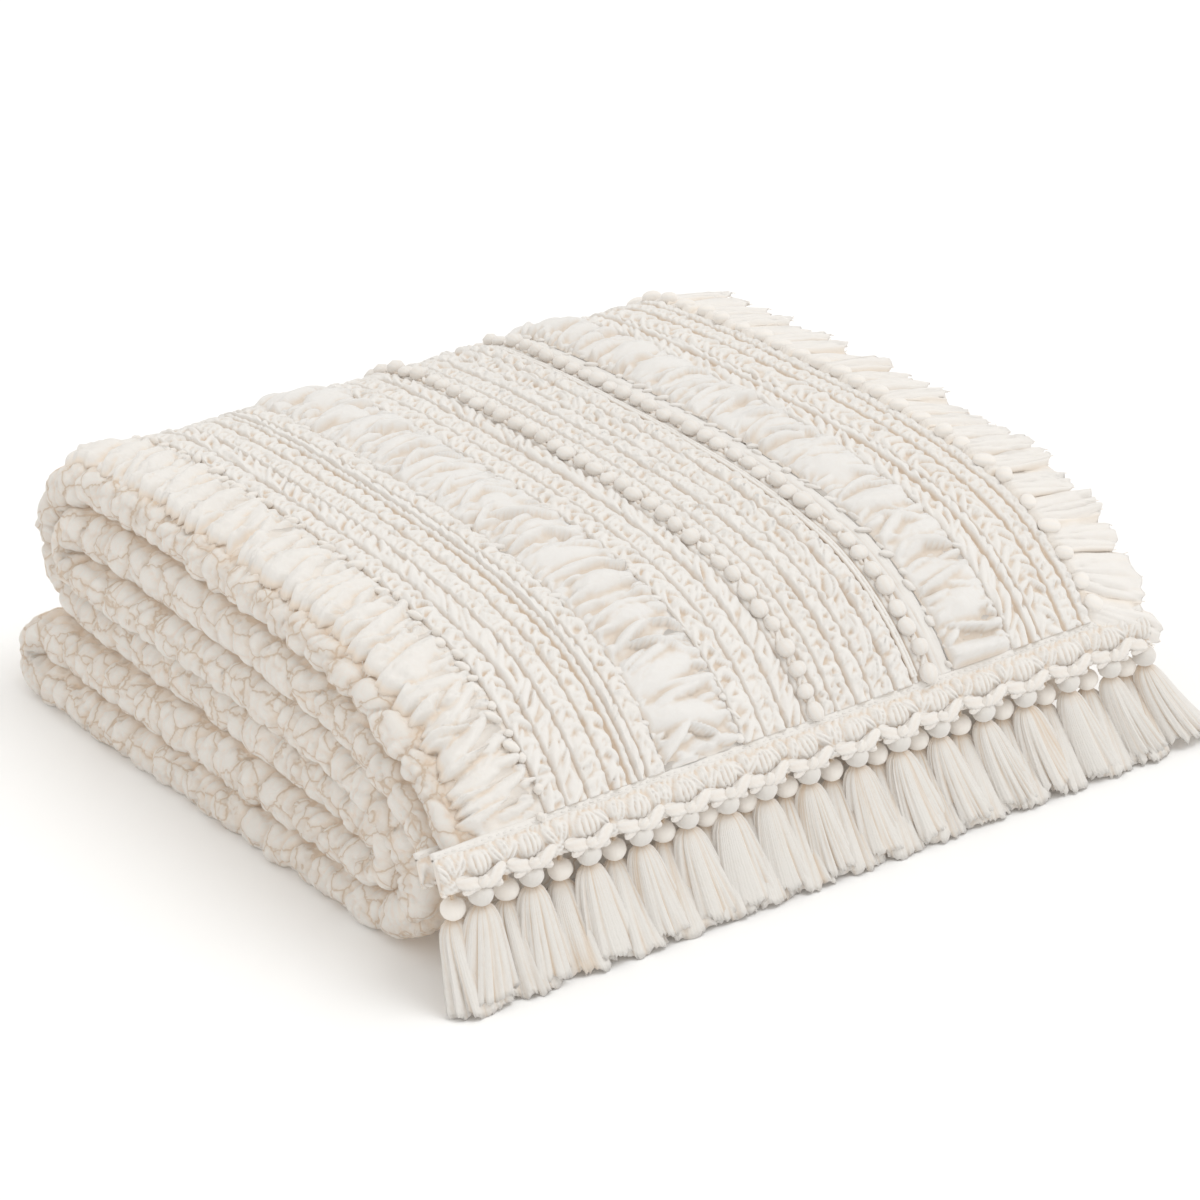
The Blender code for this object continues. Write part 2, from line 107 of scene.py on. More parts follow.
right, up, back = view_axes(AZIMUTH, ELEVATION)
aim = np.array(AIM_FROM_CORNER) + SHIFT + AIM_RIGHT * right + AIM_UP * up
camera_data = bpy.data.cameras.new("camera")
camera_data.lens = LENS
camera_data.sensor_width = 36.0
camera = bpy.data.objects.new("camera", camera_data)
bpy.context.scene.collection.objects.link(camera)
camera.matrix_world = Matrix(
    [[right[k], up[k], back[k], aim[k] + DISTANCE * back[k]] for k in range(3)] + [[0, 0, 0, 1]])
bpy.context.scene.camera = camera
print("camera at", np.array(camera.matrix_world.translation).round(3))

# %% Floor, sky and lamp
scene = bpy.context.scene
scene.view_settings.view_transform = "Standard"
world = bpy.data.worlds.new("sky")
world.use_nodes = True
sky = world.node_tree.nodes["Background"]
sky.inputs["Color"].default_value = (1.0, 0.984, 0.955, 1.0)
sky.inputs["Strength"].default_value = 0.89
scene.world = world

lamp_data = bpy.data.lights.new("soft_lamp", "SUN")
lamp_data.energy = 0.90
lamp_data.angle = math.radians(36)
lamp_data.color = (0.965, 0.985, 1.0)
lamp = bpy.data.objects.new("soft_lamp", lamp_data)
scene.collection.objects.link(lamp)
towards_lamp = np.array([0.36, -0.32, 1.0])
towards_lamp /= np.linalg.norm(towards_lamp)
side = np.cross([0.0, 1.0, 0.0], towards_lamp)
side /= np.linalg.norm(side)
over = np.cross(towards_lamp, side)
lamp.matrix_world = Matrix(
    [[side[k], over[k], towards_lamp[k], 2.0 * towards_lamp[k]] for k in range(3)] + [[0, 0, 0, 1]])

floor_mesh = bpy.data.meshes.new("floor")
floor_mesh.from_pydata([(-9, -9, 0), (9, -9, 0), (9, 9, 0), (-9, 9, 0)], [], [(0, 1, 2, 3)])
floor = bpy.data.objects.new("floor", floor_mesh)
scene.collection.objects.link(floor)
print("lamp towards", towards_lamp.round(2))

# %% [markdown]
# ## Finishes
# Cotton is matt and slightly uneven. Its look comes from a weave or yarn too fine to model, small
# crumples, and painted shade: a darker, warmer tint painted into every hollow, standing for shade
# and for light bounced from cloth to cloth. Painted light is added too: the finishes glow a little
# by emission, in the hollows and over the open cloth, standing for the light that thick pale cotton
# passes on between its folds. A small class lets the shader's sums be written as Python expressions,
# and one function then makes every cotton finish from a few numbers. Each mesh carries a "hollow"
# value, the strength of painted shade in its creases, and a UV map in metres along and across the cloth.

# %% A class for shader sums
class Value:
    """A shader socket that takes part in Python sums."""

    def __init__(self, tree, socket):
        self.tree = tree
        self.socket = socket

    def sum(self, operation, *terms):
        """A Math node on sockets and plain numbers."""
        node = self.tree.nodes.new("ShaderNodeMath")
        node.operation = operation
        for slot, term in zip(node.inputs, terms):
            if isinstance(term, Value):
                self.tree.links.new(term.socket, slot)
            else:
                slot.default_value = term
        return Value(self.tree, node.outputs[0])

    def __add__(self, other):
        return self.sum("ADD", self, other)

    def __radd__(self, other):
        return self.sum("ADD", other, self)

    def __sub__(self, other):
        return self.sum("SUBTRACT", self, other)

    def __rsub__(self, other):
        return self.sum("SUBTRACT", other, self)

    def __mul__(self, other):
        return self.sum("MULTIPLY", self, other)

    def __rmul__(self, other):
        return self.sum("MULTIPLY", other, self)

    def __truediv__(self, other):
        return self.sum("DIVIDE", self, other)

    def __pow__(self, other):
        return self.sum("POWER", self, other)

    def sine(self):
        return self.sum("SINE", self)

    def size(self):
        return self.sum("ABSOLUTE", self)

    def limited(self):
        return self.sum("MINIMUM", self.sum("MAXIMUM", self, 0.0), 1.0)


class NodeMaker:
    """Adds nodes to a tree one by one."""

    def node(self, kind, settings=None, inputs=None, output=0):
        """Adds a node, with its settings first and its sockets' values or links after them."""
        made = self.tree.nodes.new(kind)
        for name, value in (settings or {}).items():
            setattr(made, name, value)
        for name, value in (inputs or {}).items():
            if isinstance(value, Value):
                self.tree.links.new(value.socket, made.inputs[name])
            else:
                made.inputs[name].default_value = value
        return Value(self.tree, made.outputs[output])


class Finish(NodeMaker):
    """A material and its nodes."""

    def __init__(self, name):
        self.material = bpy.data.materials.new(name)
        self.material.use_nodes = True
        self.tree = self.material.node_tree
        self.shader = self.tree.nodes["Principled BSDF"]

    def feed(self, socket, value):
        """Links a value to the shader, or sets it there."""
        if isinstance(value, Value):
            self.tree.links.new(value.socket, self.shader.inputs[socket])
        else:
            self.shader.inputs[socket].default_value = value


print("shader helpers ready")

# %% Cotton finishes
# Painted shade: the deepest crease takes on the darker hollow tint by this share.
CREASE_SHADE = 0.80        # how far the deepest crease takes on the hollow tint
GLOW_TINT = (1.0, 0.90, 0.79)
CREASE_SHIFT = (0.0070, 0.0070, 0.0070)    # how far wrinkles bend the creases between small puffs


def wrinkles_and_threads(finish, weave, fold, deep, strands):
    """The place on the piece, its hollow, crumples and bends, and the height and shade they give."""
    place = finish.node("ShaderNodeTexCoord", output=3)
    cloth = finish.node("ShaderNodeUVMap", {"uv_map": "cloth"})
    across = finish.node("ShaderNodeSeparateXYZ", inputs={"Vector": cloth})
    along = Value(finish.tree, across.socket.node.outputs[1])
    crease = finish.node("ShaderNodeAttribute", {"attribute_name": "hollow"}, output=2)
    drift = finish.node("ShaderNodeTexNoise", inputs={"Vector": place, "Scale": 18.0, "Detail": 3.0})
    crumples = finish.node("ShaderNodeTexNoise", inputs={"Vector": place, "Scale": 420.0, "Detail": 3.0})
    bent = finish.node(
        "ShaderNodeTexNoise", inputs={"Vector": place, "Scale": fold, "Detail": 2.0, "Distortion": 0.7})
    wrinkle = (bent - 0.5).size() * 4.0
    turn = 2 * math.pi * weave
    if strands:
        threads = (across * turn + crumples * 7.0).sine()
    else:
        threads = (across * turn).sine() * (along * turn).sine()
    # Painted shade in creases and wrinkle valleys; drift and crumples add random tone.
    shade = crease * CREASE_SHADE + (drift - 0.5) * 0.15 + (crumples - 0.5) * 0.12
    shade = shade + (0.22 - wrinkle).limited() * deep * 0.5
    height = threads * 0.20 + crumples * 0.4 + wrinkle.limited() ** 0.7 * deep
    return place, crease, crumples, bent, height, shade


def cotton(name, light, hollow, weave, relief, rough, sheen, fold, deep, inner,
           glow=0.0, strands=False, cells=0.0):
    """A cotton finish: two tints, for the open cloth and for the painted shade in its hollows, threads
    to the metre, how strong its relief is, roughness, sheen, wrinkles to the metre and their depth.
    Painted light is added by emission of strength inner, in the hollow tint where it is creased and
    tinted by glow where it isn't. Cells gives the number of small puffs to the metre, each with a
    fine crease round it and painted shade along the crease."""
    finish = Finish(name)
    place, crease, crumples, bent, height, shade = wrinkles_and_threads(finish, weave, fold, deep, strands)
    if cells:
        bent_colour = Value(finish.tree, bent.socket.node.outputs["Color"])
        shifted = finish.node(
            "ShaderNodeVectorMath", {"operation": "MULTIPLY_ADD"},
            {0: bent_colour, 1: CREASE_SHIFT, 2: place})
        edge = finish.node(
            "ShaderNodeTexVoronoi", {"feature": "DISTANCE_TO_EDGE"}, {"Vector": shifted, "Scale": cells})
        # Painted shade along the puffs' creases: a thin dark line with a softer shade either side.
        shade = shade + (1.0 - edge * 30.0).limited() * 0.60 + (1.0 - edge * 5.0).limited() ** 2 * 0.40
        height = height + (edge * 5.0).limited() ** 0.5 * 1.9
    tint = finish.node(
        "ShaderNodeMix", {"data_type": "RGBA"},
        {"Factor": shade.limited(), 6: (*light, 1.0), 7: (*hollow, 1.0)}, output=2)
    # Painted light: emission, in the hollow tint where creased and in the glow colour elsewhere.
    open_glow = (*(glow * part for part in GLOW_TINT), 1.0)
    inner_light = finish.node(
        "ShaderNodeMix", {"data_type": "RGBA"},
        {"Factor": (crease * CREASE_SHADE).limited(), 6: open_glow, 7: (*hollow, 1.0)}, output=2)
    bump = finish.node("ShaderNodeBump", inputs={"Height": height, "Strength": relief, "Distance": 0.0010})
    finish.feed("Base Color", tint)
    finish.feed("Emission Color", inner_light)
    finish.feed("Emission Strength", inner)
    finish.feed("Normal", bump)
    finish.feed("Roughness", rough + (crumples - 0.5) * 0.10)
    finish.feed("Sheen Weight", sheen)
    finish.feed("Sheen Roughness", 0.5)
    finish.feed("Specular IOR Level", 0.25)
    return finish.material


VOILE = {"weave": 2200, "relief": 0.30, "rough": 0.80, "sheen": 0.25, "fold": 90.0, "deep": 0.5}
YARN = {"weave": 1500, "relief": 0.30, "rough": 0.88, "sheen": 0.25, "deep": 0.3}
BUNDLE = {
    "weave": 640, "relief": 0.32, "rough": 0.78, "sheen": 0.35, "fold": 90.0, "deep": 0.4, "strands": True}

# Glow and inner paint light into each finish by emission, standing for light passed on between folds.
quilt_finish = cotton(
    "quilt_cotton_look", (0.955, 0.915, 0.866), (0.70, 0.56, 0.43), weave=2600, relief=0.72, rough=0.86,
    sheen=0.25, fold=120.0, deep=0.8, inner=0.34, glow=0.21, cells=46.0)
# The sheer voile glows more: painted light that stands for light coming through the thin cloth.
sheer_glow_finish = cotton(
    "sheer_voile_glow_look", (0.790, 0.766, 0.738), (0.78, 0.68, 0.57), inner=0.15, glow=0.32, **VOILE)
voile_finish = cotton(
    "voile_look", (0.812, 0.786, 0.753), (0.74, 0.62, 0.50), inner=0.10, **VOILE)
ruched_finish = cotton(
    "ruched_look", (0.788, 0.771, 0.750), (0.64, 0.53, 0.42), weave=2400, relief=0.28, rough=0.70,
    sheen=0.35, fold=70.0, deep=0.5, inner=0.10, glow=0.12)
cord_finish = cotton(
    "cord_look", (0.786, 0.764, 0.736), (0.58, 0.45, 0.33), fold=210.0, inner=0.10, glow=0.12, **YARN)
crochet_finish = cotton(
    "crochet_look", (0.766, 0.744, 0.716), (0.64, 0.50, 0.37), fold=230.0, inner=0.14, glow=0.40, **YARN)
tassel_finish = cotton(
    "tassel_look", (0.680, 0.660, 0.632), (0.55, 0.40, 0.26), inner=0.14, glow=0.46, **BUNDLE)
# A copy of the tassel finish with much more emission: painted light for the back row's shaded heads.
back_head_glow_finish = cotton(
    "back_head_glow_look", (0.660, 0.640, 0.610), (0.60, 0.46, 0.32), inner=0.22, glow=1.0, **BUNDLE)

floor_finish = Finish("floor_look")
grain = floor_finish.node("ShaderNodeTexNoise", inputs={"Scale": 3.0})
pale = floor_finish.node(
    "ShaderNodeMix", {"data_type": "RGBA"},
    {"Factor": grain, 6: (0.965, 0.965, 0.965, 1.0), 7: (0.975, 0.975, 0.973, 1.0)}, output=2)
floor_finish.feed("Base Color", pale)
floor_finish.feed("Roughness", 0.9)
floor_finish.feed("Specular IOR Level", 0.1)
floor_mesh.materials.append(floor_finish.material)
print("finishes ready")

# %% [markdown]
# ## The fold line
# Folded cloth is one long strip, so everything on it is placed by three numbers: how far along
# the strip, how far across, and how high above its middle. The line that the strip follows in
# side view is worked out once from a few measured sizes, layer by layer and fold by fold. This
# makes each trim follow the folds without being fitted by hand.

# %% Sizes of the stack
STEP = 0.001
QUILT_THICKNESS = 0.022
END_THICKNESS = 0.012
END_TAPER = 0.080
CREST_HEIGHT = 0.166
HEM_Y = -0.047
BACK_TURN_Y = 0.350
HANG_PITCH = 0.0236
HANG_END_PITCH = 0.0165
SECOND_HEM_SETBACK = 0.004

DROOP_Y = (HEM_Y, -0.029, -0.002, 0.026, 0.063, 0.100, 0.150, 0.210)
DROOP = (0.0805, 0.0585, 0.0360, 0.0213, 0.0115, 0.0055, 0.0018, 0.0)
LEVEL_Y = (0.06, 0.20, 0.36)
LEVELS = {
    "third": (0.0895, 0.0960, 0.0935),
    "fourth": (0.0600, 0.0710, 0.0685),
    "fifth": (0.0355, 0.0390, 0.0400),
    "sixth": (0.0110, 0.0110, 0.0110),
}
# near edge at the front and back, far edge at the front and back
EDGES = {
    "first": (-0.240, -0.233, 0.243, 0.232),
    "second": (-0.245, -0.239, 0.238, 0.235),
    "third": (-0.240, -0.246, 0.240, 0.234),
    "fourth": (-0.237, -0.241, 0.241, 0.236),
    "fifth": (-0.239, -0.250, 0.240, 0.232),
    "sixth": (-0.240, -0.256, 0.242, 0.231),
}
# where the layers before and after a fold start to turn, and the fold's nose (y, z)
FOLDS = {
    "outer_back": (BACK_TURN_Y, 0.358, 0.4070, 0.1110),
    "inner_front": (0.046, 0.041, 0.0290, 0.0475),
    "low_back": (0.395, 0.395, 0.4140, 0.0255),
    "outer_front": (0.095, 0.040, -0.0070, 0.0390),
    "inner_back": (0.364, 0.366, 0.3805, 0.1065),
}
print(len(LEVELS) + 2, "layers,", len(FOLDS), "folds")

# %% The line from hem to hem
def resample(points, step):
    """The same line with its points an even step apart."""
    run = np.r_[0, np.cumsum(np.linalg.norm(np.diff(points[:, :2], axis=0), axis=1))]
    wanted = np.linspace(0, run[-1], int(round(run[-1] / step)) + 1)
    return np.column_stack([np.interp(wanted, run, column) for column in points.T])


def soften(points, width):
    """Rounds the line's corners with a bell-shaped average of that width, ends held."""
    reach = int(4 * width / STEP)
    offsets = np.arange(-reach, reach + 1) * STEP
    bell = np.exp(-0.5 * (offsets / width) ** 2)
    bell /= bell.sum()
    before = 2 * points[0] - points[1:reach + 1][::-1]
    after = 2 * points[-1] - points[-reach - 1:-1][::-1]
    padded = np.vstack([before, points, after])
    return np.column_stack([np.convolve(column, bell, "valid") for column in padded.T])


def normals(points):
    """Unit tangents, and normals to their left, of a line in side view."""
    tangent = np.gradient(points[:, :2], axis=0)
    tangent /= np.linalg.norm(tangent, axis=1)[:, None]
    return tangent, np.column_stack([-tangent[:, 1], tangent[:, 0]])


def ease(t):
    """0 to 1 with level ends."""
    t = np.clip(t, 0, 1)
    return t * t * (3 - 2 * t)


def smooth_table(x, table_x, table_value):
    """Cubic through the rows of a table, flat after the last row."""
    slope = np.gradient(table_value, table_x)
    slope[-1] = 0
    row = np.clip(np.searchsorted(table_x, x) - 1, 0, len(table_x) - 2)
    width = table_x[row + 1] - table_x[row]
    t = np.clip((x - table_x[row]) / width, 0, 1)
    start = (2 * t ** 3 - 3 * t ** 2 + 1) * table_value[row] + (t ** 3 - 2 * t ** 2 + t) * width * slope[row]
    end = (3 * t ** 2 - 2 * t ** 3) * table_value[row + 1] + (t ** 3 - t ** 2) * width * slope[row + 1]
    return start + end


def with_edges(line, layer):
    """Adds the layer's near and far edge to each point of its line."""
    share = np.clip((line[:, 0] - HEM_Y) / (BACK_TURN_Y - HEM_Y), 0, 1)
    near_front, near_back, far_front, far_back = EDGES[layer]
    near = near_front + share * (near_back - near_front)
    far = far_front + share * (far_back - far_front)
    return np.column_stack([line, near, far])


def hanging_layers():
    """The first layer under the top surface, and the second below it."""
    y = np.linspace(HEM_Y, BACK_TURN_Y + 0.01, 300)
    drop = smooth_table(y, np.array(DROOP_Y), np.array(DROOP))
    sag = 0.45 * np.clip(y - 0.260, 0, None) ** 2
    top = soften(resample(np.column_stack([y, CREST_HEIGHT - drop - sag]), STEP), 0.006)
    _, up_side = normals(top)
    full = ease(np.arange(len(top)) * STEP / END_TAPER)
    half = 0.5 * (END_THICKNESS + (QUILT_THICKNESS - END_THICKNESS) * full)
    first = top - up_side * half[:, None]
    pitch = HANG_END_PITCH + (HANG_PITCH - HANG_END_PITCH) * full
    pitch += np.interp(top[:, 0], [0.05, 0.20, 0.36], [0, 0.0065, 0.0080])
    second = (first - up_side * pitch[:, None])[int(SECOND_HEM_SETBACK / STEP):]
    first = first[first[:, 0] <= FOLDS["outer_back"][0]]
    second = second[second[:, 0] <= FOLDS["inner_back"][0]]
    return with_edges(first, "first"), with_edges(second, "second")


def lying_layer(layer, y_from, y_to):
    y = np.linspace(y_from, y_to, 80)
    return with_edges(np.column_stack([y, np.interp(y, LEVEL_Y, LEVELS[layer])]), layer)


def turn(before, after, fold):
    """Two quarter ellipses from the end of one layer, by the fold's nose, to the next layer."""
    angle = np.linspace(0, math.pi / 2, 24)
    nose = np.array(fold[2:])
    edges = 0.5 * (before[2:] + after[2:])
    quarters = []
    for layer_end in (before, after):
        y = layer_end[0] + (nose[0] - layer_end[0]) * np.sin(angle)
        z = nose[1] + (layer_end[1] - nose[1]) * np.cos(angle)
        blend = np.linspace(0, 1, len(angle))[:, None]
        quarters.append(np.hstack([np.column_stack([y, z]), (1 - blend) * layer_end[2:] + blend * edges]))
    return np.vstack([quarters[0], quarters[1][::-1][1:]])


def fold_line():
    """The middle of the strip from one hem to the other: columns y, z, near edge, far edge."""
    first, second = hanging_layers()
    fourth = lying_layer("fourth", FOLDS["outer_back"][1], FOLDS["inner_front"][0])
    fifth = lying_layer("fifth", FOLDS["inner_front"][1], FOLDS["low_back"][0])
    sixth = lying_layer("sixth", FOLDS["low_back"][1], FOLDS["outer_front"][1])
    third = lying_layer("third", FOLDS["outer_front"][0], FOLDS["inner_back"][1])
    order = [
        first, turn(first[-1], fourth[0], FOLDS["outer_back"]),
        fourth, turn(fourth[-1], fifth[0], FOLDS["inner_front"]),
        fifth, turn(fifth[-1], sixth[0], FOLDS["low_back"]),
        sixth, turn(sixth[-1], third[0], FOLDS["outer_front"]),
        third, turn(third[-1], second[-1], FOLDS["inner_back"]),
        second[::-1],
    ]
    line = np.vstack(order)
    apart = np.linalg.norm(np.diff(line[:, :2], axis=0), axis=1) > 1e-5
    line = resample(line[np.r_[True, apart]], STEP)
    return resample(soften(line, 0.0045), STEP)


line = fold_line()
tangent, upward = normals(line)
LENGTH = STEP * (len(line) - 1)
runs = np.arange(len(line)) * STEP
from_end = np.minimum(runs, LENGTH - runs)
thick = END_THICKNESS + (QUILT_THICKNESS - END_THICKNESS) * ease(from_end / END_TAPER)
bend = np.linalg.norm(np.gradient(tangent, axis=0), axis=1) / STEP
thick = np.minimum(thick, 2 * (1 / np.maximum(bend, 1) - 0.0012))
thick = np.minimum(thick, soften(thick[:, None], 0.005)[:, 0])
print(f"strip {LENGTH:.3f} m long")


# %% Places on the strip
def along(run, column):
    """A column of the line at some places along the strip."""
    return np.interp(run, runs, column)


def place(run, x, height):
    """Points (..., 3) in the stack's final place, from run, x and height above the middle."""
    run, x, height = np.broadcast_arrays(run, x, height)
    beyond_hem = np.minimum(run, 0)
    y = along(run, line[:, 0]) + beyond_hem * tangent[0, 0] + height * along(run, upward[:, 0])
    z = along(run, line[:, 1]) + beyond_hem * tangent[0, 1] + height * along(run, upward[:, 1])
    return np.stack([x + SHIFT[0], y + SHIFT[1], z], axis=-1)


def across(run, share):
    """X at a share of the strip's width from its near edge."""
    near = along(run, line[:, 2])
    return near + share * (along(run, line[:, 3]) - near)


def half_thickness(run):
    return 0.5 * along(run, thick)


quilt_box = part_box("quilted_body")
points = place(runs, across(runs, 0.5), 0.0)
print("line y", points[:, 1].min().round(4), points[:, 1].max().round(4),
      "solid y", round(quilt_box[0][1], 4), round(quilt_box[1][1], 4))

# %% [markdown]
# ## The quilted cloth
# The runner itself is two cotton covers with wadding between, gathered along its long edges, so
# each layer shows as a plump roll of overlapping shell-shaped puffs, parted by thin curved
# creases. A simulation would need a very fine mesh for those creases. Instead the skin is one
# closed mesh that follows the fold line, with its points pushed in and out by a few sums: large
# shells, small gathers across them, tucks beside the stitches, and fine wrinkles. The rolls
# swell until they meet the next layer, as wadding does under the weight of a stack.

# %% Mesh helpers
def noise(u, v, size, seed):
    """Smooth random values between -1 and 1 over a plane, about size apart."""
    table = np.random.default_rng(seed).uniform(-1, 1, (128, 128))
    u, v = np.broadcast_arrays(u / size, v / size)
    i, j = np.floor(u).astype(int), np.floor(v).astype(int)
    a, b = ease(u - i), ease(v - j)
    low = table[i % 128, j % 128] * (1 - a) + table[(i + 1) % 128, j % 128] * a
    high = table[i % 128, (j + 1) % 128] * (1 - a) + table[(i + 1) % 128, (j + 1) % 128] * a
    return low * (1 - b) + high * b


def bell(distance, width):
    """1 at no distance, fading to 0 past the width."""
    return np.exp(-(distance / width) ** 2)


def billows(u, v, size, seed):
    """Round puffs parted by sharp creases, between 0 and 1."""
    shift_u = 0.7 * size * noise(u, v, 1.7 * size, seed + 1)
    shift_v = 0.7 * size * noise(u, v, 1.7 * size, seed + 2)
    return np.minimum(1.5 * np.abs(noise(u + shift_u, v + shift_v, size, seed)), 1) ** 0.8


def puff_borders(u, v, size, seed):
    """How far each place is from the border between two puffs, as a share of a puff's size."""
    centres = np.random.default_rng(seed).uniform(0.08, 0.92, (2, 128, 128))
    a, b = np.broadcast_arrays(u / size, v / size)
    i, j = np.floor(a).astype(int), np.floor(b).astype(int)
    nearest = np.full(a.shape, 9.0)
    second = np.full(a.shape, 9.0)
    for di in (-1, 0, 1):
        for dj in (-1, 0, 1):
            ci, cj = (i + di) % 128, (j + dj) % 128
            away = np.hypot(a - i - di - centres[0, ci, cj], b - j - dj - centres[1, ci, cj])
            second = np.minimum(second, np.maximum(nearest, away))
            nearest = np.minimum(nearest, away)
    return second - nearest


def folds_along(run, seed, shortest, longest):
    """Which fold each place is in, how far through it, and the fold's length."""
    marks = np.cumsum(np.random.default_rng(seed).uniform(shortest, longest, int(1.6 / shortest))) - 0.35
    i = np.clip(np.searchsorted(marks, run) - 1, 0, len(marks) - 2)
    length = marks[i + 1] - marks[i]
    return i, (run - marks[i]) / length, length


def round_folds(run, seed, shortest, longest):
    """Folds with round tops and sharp valleys, between 0 and 1, and the height of each."""
    i, t, _ = folds_along(run, seed, shortest, longest)
    tall = np.random.default_rng(seed + 7).uniform(0.55, 1.15, 900)[i % 900]
    return np.sin(math.pi * np.clip(t, 0, 1) ** 0.75) ** 0.65 * tall


def pleats(run, seed, shortest, longest):
    """Folds with one crisp ridge each, between 0 and 1."""
    i, t, _ = folds_along(run, seed, shortest, longest)
    tall, crest = np.random.default_rng(seed + 7).uniform([0.3, 0.2], [1.1, 0.8], (900, 2)).T
    tall, crest = tall[i % 900], crest[i % 900]
    t = np.clip(t, 0, 1)
    return tall * np.minimum(t / crest, (1 - t) / (1 - crest)) ** 1.2


CRUMPLE_WAYS = ((0.0, 0.50), (-0.75, 0.34), (0.85, 0.30))   # slant of the folds, share of the height


def crumpled(w, out, size, seed):
    """Crisp folds that run three ways and fade in and out, as in thin gathered cloth."""
    total = 0.0
    for slant, share in CRUMPLE_WAYS:
        seed += 20
        strength = ease(0.5 + 1.3 * noise(w, out, 1.8 * size, seed))
        bent = w + slant * out + 0.35 * size * noise(w, out, 1.5 * size, seed + 1)
        total = total + share * strength * pleats(bent, seed + 2, 0.7 * size, 1.5 * size)
    return total


def blurred(values, steps):
    """A soft copy of a grid, to tell hollows from heights."""
    kernel = np.ones(2 * steps + 1) / (2 * steps + 1)
    padded = np.pad(values, steps, mode="edge")
    once = np.apply_along_axis(lambda v: np.convolve(v, kernel, "valid"), 0, padded)
    return np.apply_along_axis(lambda v: np.convolve(v, kernel, "valid"), 1, once)


# Its values are used as painted shade in the hollows of each relief.
def hollows(height, depth):
    """How deep each place of a relief lies below its surroundings, as a share of depth."""
    return np.clip((blurred(height, 3) - height) / depth, 0, 0.8)


def new_piece(name, points, faces, finish, cloth=None, hollow=None):
    """An object from points and faces, with its cloth map, hollows and finish."""
    mesh = bpy.data.meshes.new(name)
    points = np.asarray(points).reshape(-1, 3)
    mesh.from_pydata(points.tolist(), [], [list(face) for face in faces])
    if cloth is not None:
        layer = mesh.uv_layers.new(name="cloth")
        corner = np.empty(len(mesh.loops), dtype=int)
        mesh.loops.foreach_get("vertex_index", corner)
        layer.data.foreach_set("uv", np.asarray(cloth).reshape(-1, 2)[corner].ravel())
    if hollow is not None:
        values = mesh.attributes.new("hollow", "FLOAT", "POINT")
        values.data.foreach_set("value", np.clip(np.asarray(hollow).ravel(), 0, 1))
    mesh.shade_smooth()
    mesh.materials.append(finish)
    made = bpy.data.objects.new(name, mesh)
    scene.collection.objects.link(made)
    return made


def face_outwards(piece):
    """Turns the faces round where the closed mesh came out inside out."""
    mesh = piece.data
    corners = np.empty(len(mesh.vertices) * 3)
    mesh.vertices.foreach_get("co", corners)
    corners = corners.reshape(-1, 3)
    mesh.calc_loop_triangles()
    triples = np.empty(len(mesh.loop_triangles) * 3, dtype=int)
    mesh.loop_triangles.foreach_get("vertices", triples)
    a, b, c = corners[triples.reshape(-1, 3)].transpose(1, 0, 2)
    if np.einsum("ij,ij->i", a, np.cross(b, c)).sum() < 0:
        mesh.flip_normals()
    return piece


def stand_for(piece, node):
    """Puts a piece on the runner's one body, in place of a solid."""
    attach(piece, "root")
    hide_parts(node)


def tube_faces(rows, columns):
    """Quads round a row of rings, and a cap at each end."""
    at = np.arange(rows * columns).reshape(rows, columns)
    around = np.roll(at, -1, axis=1)
    sides = np.stack([at[:-1], around[:-1], around[1:], at[1:]], axis=-1).reshape(-1, 4).tolist()
    return sides + [at[0][::-1].tolist(), at[-1].tolist()]


def new_tube(name, rings, finish, cloth, hollow):
    """A closed tube through a row of rings."""
    return face_outwards(new_piece(name, rings, tube_faces(*rings.shape[:2]), finish, cloth, hollow))


def sheet_faces(rows, columns):
    """Quads of a two-sided sheet: its face points, then its back points, joined at the rim."""
    front = np.arange(rows * columns).reshape(rows, columns)
    back = front + rows * columns
    quads = []
    for grid in (front, back[::-1]):
        corners = [grid[:-1, :-1], grid[:-1, 1:], grid[1:, 1:], grid[1:, :-1]]
        quads += np.stack(corners, -1).reshape(-1, 4).tolist()
    rims = [
        (front[0], back[0]), (back[-1], front[-1]),
        (back[:, 0], front[:, 0]), (front[:, -1], back[:, -1]),
    ]
    for first, second in rims:
        quads += np.stack([first[:-1], second[:-1], second[1:], first[1:]], -1).tolist()
    return quads


def new_sheet(name, front, back, finish, cloth, hollow):
    """A thin closed sheet between two grids of points."""
    rows, columns = front.shape[:2]
    points = np.concatenate([front.reshape(-1, 3), back.reshape(-1, 3)])
    cloth = np.tile(cloth.reshape(-1, 2), (2, 1))
    hollow = np.tile(hollow.ravel(), 2)
    return face_outwards(new_piece(name, points, sheet_faces(rows, columns), finish, cloth, hollow))


print("mesh helpers ready")

# %% Room for the rolls
LONGEST_HALF = 0.0164      # a roll never swells past this from the layer's middle


def room(side):
    """Half of the way to the next layer on one side of each point of the line, or the cloth's
    own half thickness where nothing is near."""
    found = np.full(len(line), np.nan)
    for i in range(0, len(line), 4):
        other = np.abs(np.arange(len(line)) - i) * STEP > 0.055
        offset = line[other, :2] - line[i, :2]
        height = side * (offset @ upward[i])
        beside = np.abs(offset @ tangent[i]) < 0.005
        heights = height[beside & (height > 0.004) & (height < 0.045)]
        found[i] = 0.5 * heights.min() - 0.0004 if len(heights) else 0.5 * thick[i]
    known = ~np.isnan(found)
    found = np.interp(np.arange(len(line)), np.flatnonzero(known), found[known])
    found = np.clip(found, 0.35 * thick, LONGEST_HALF)
    return soften(found[:, None], 0.010)[:, 0]


room_over = room(1)
room_under = room(-1)
print("rolls between", round(room_over.min(), 4), "and", round(room_over.max(), 4))


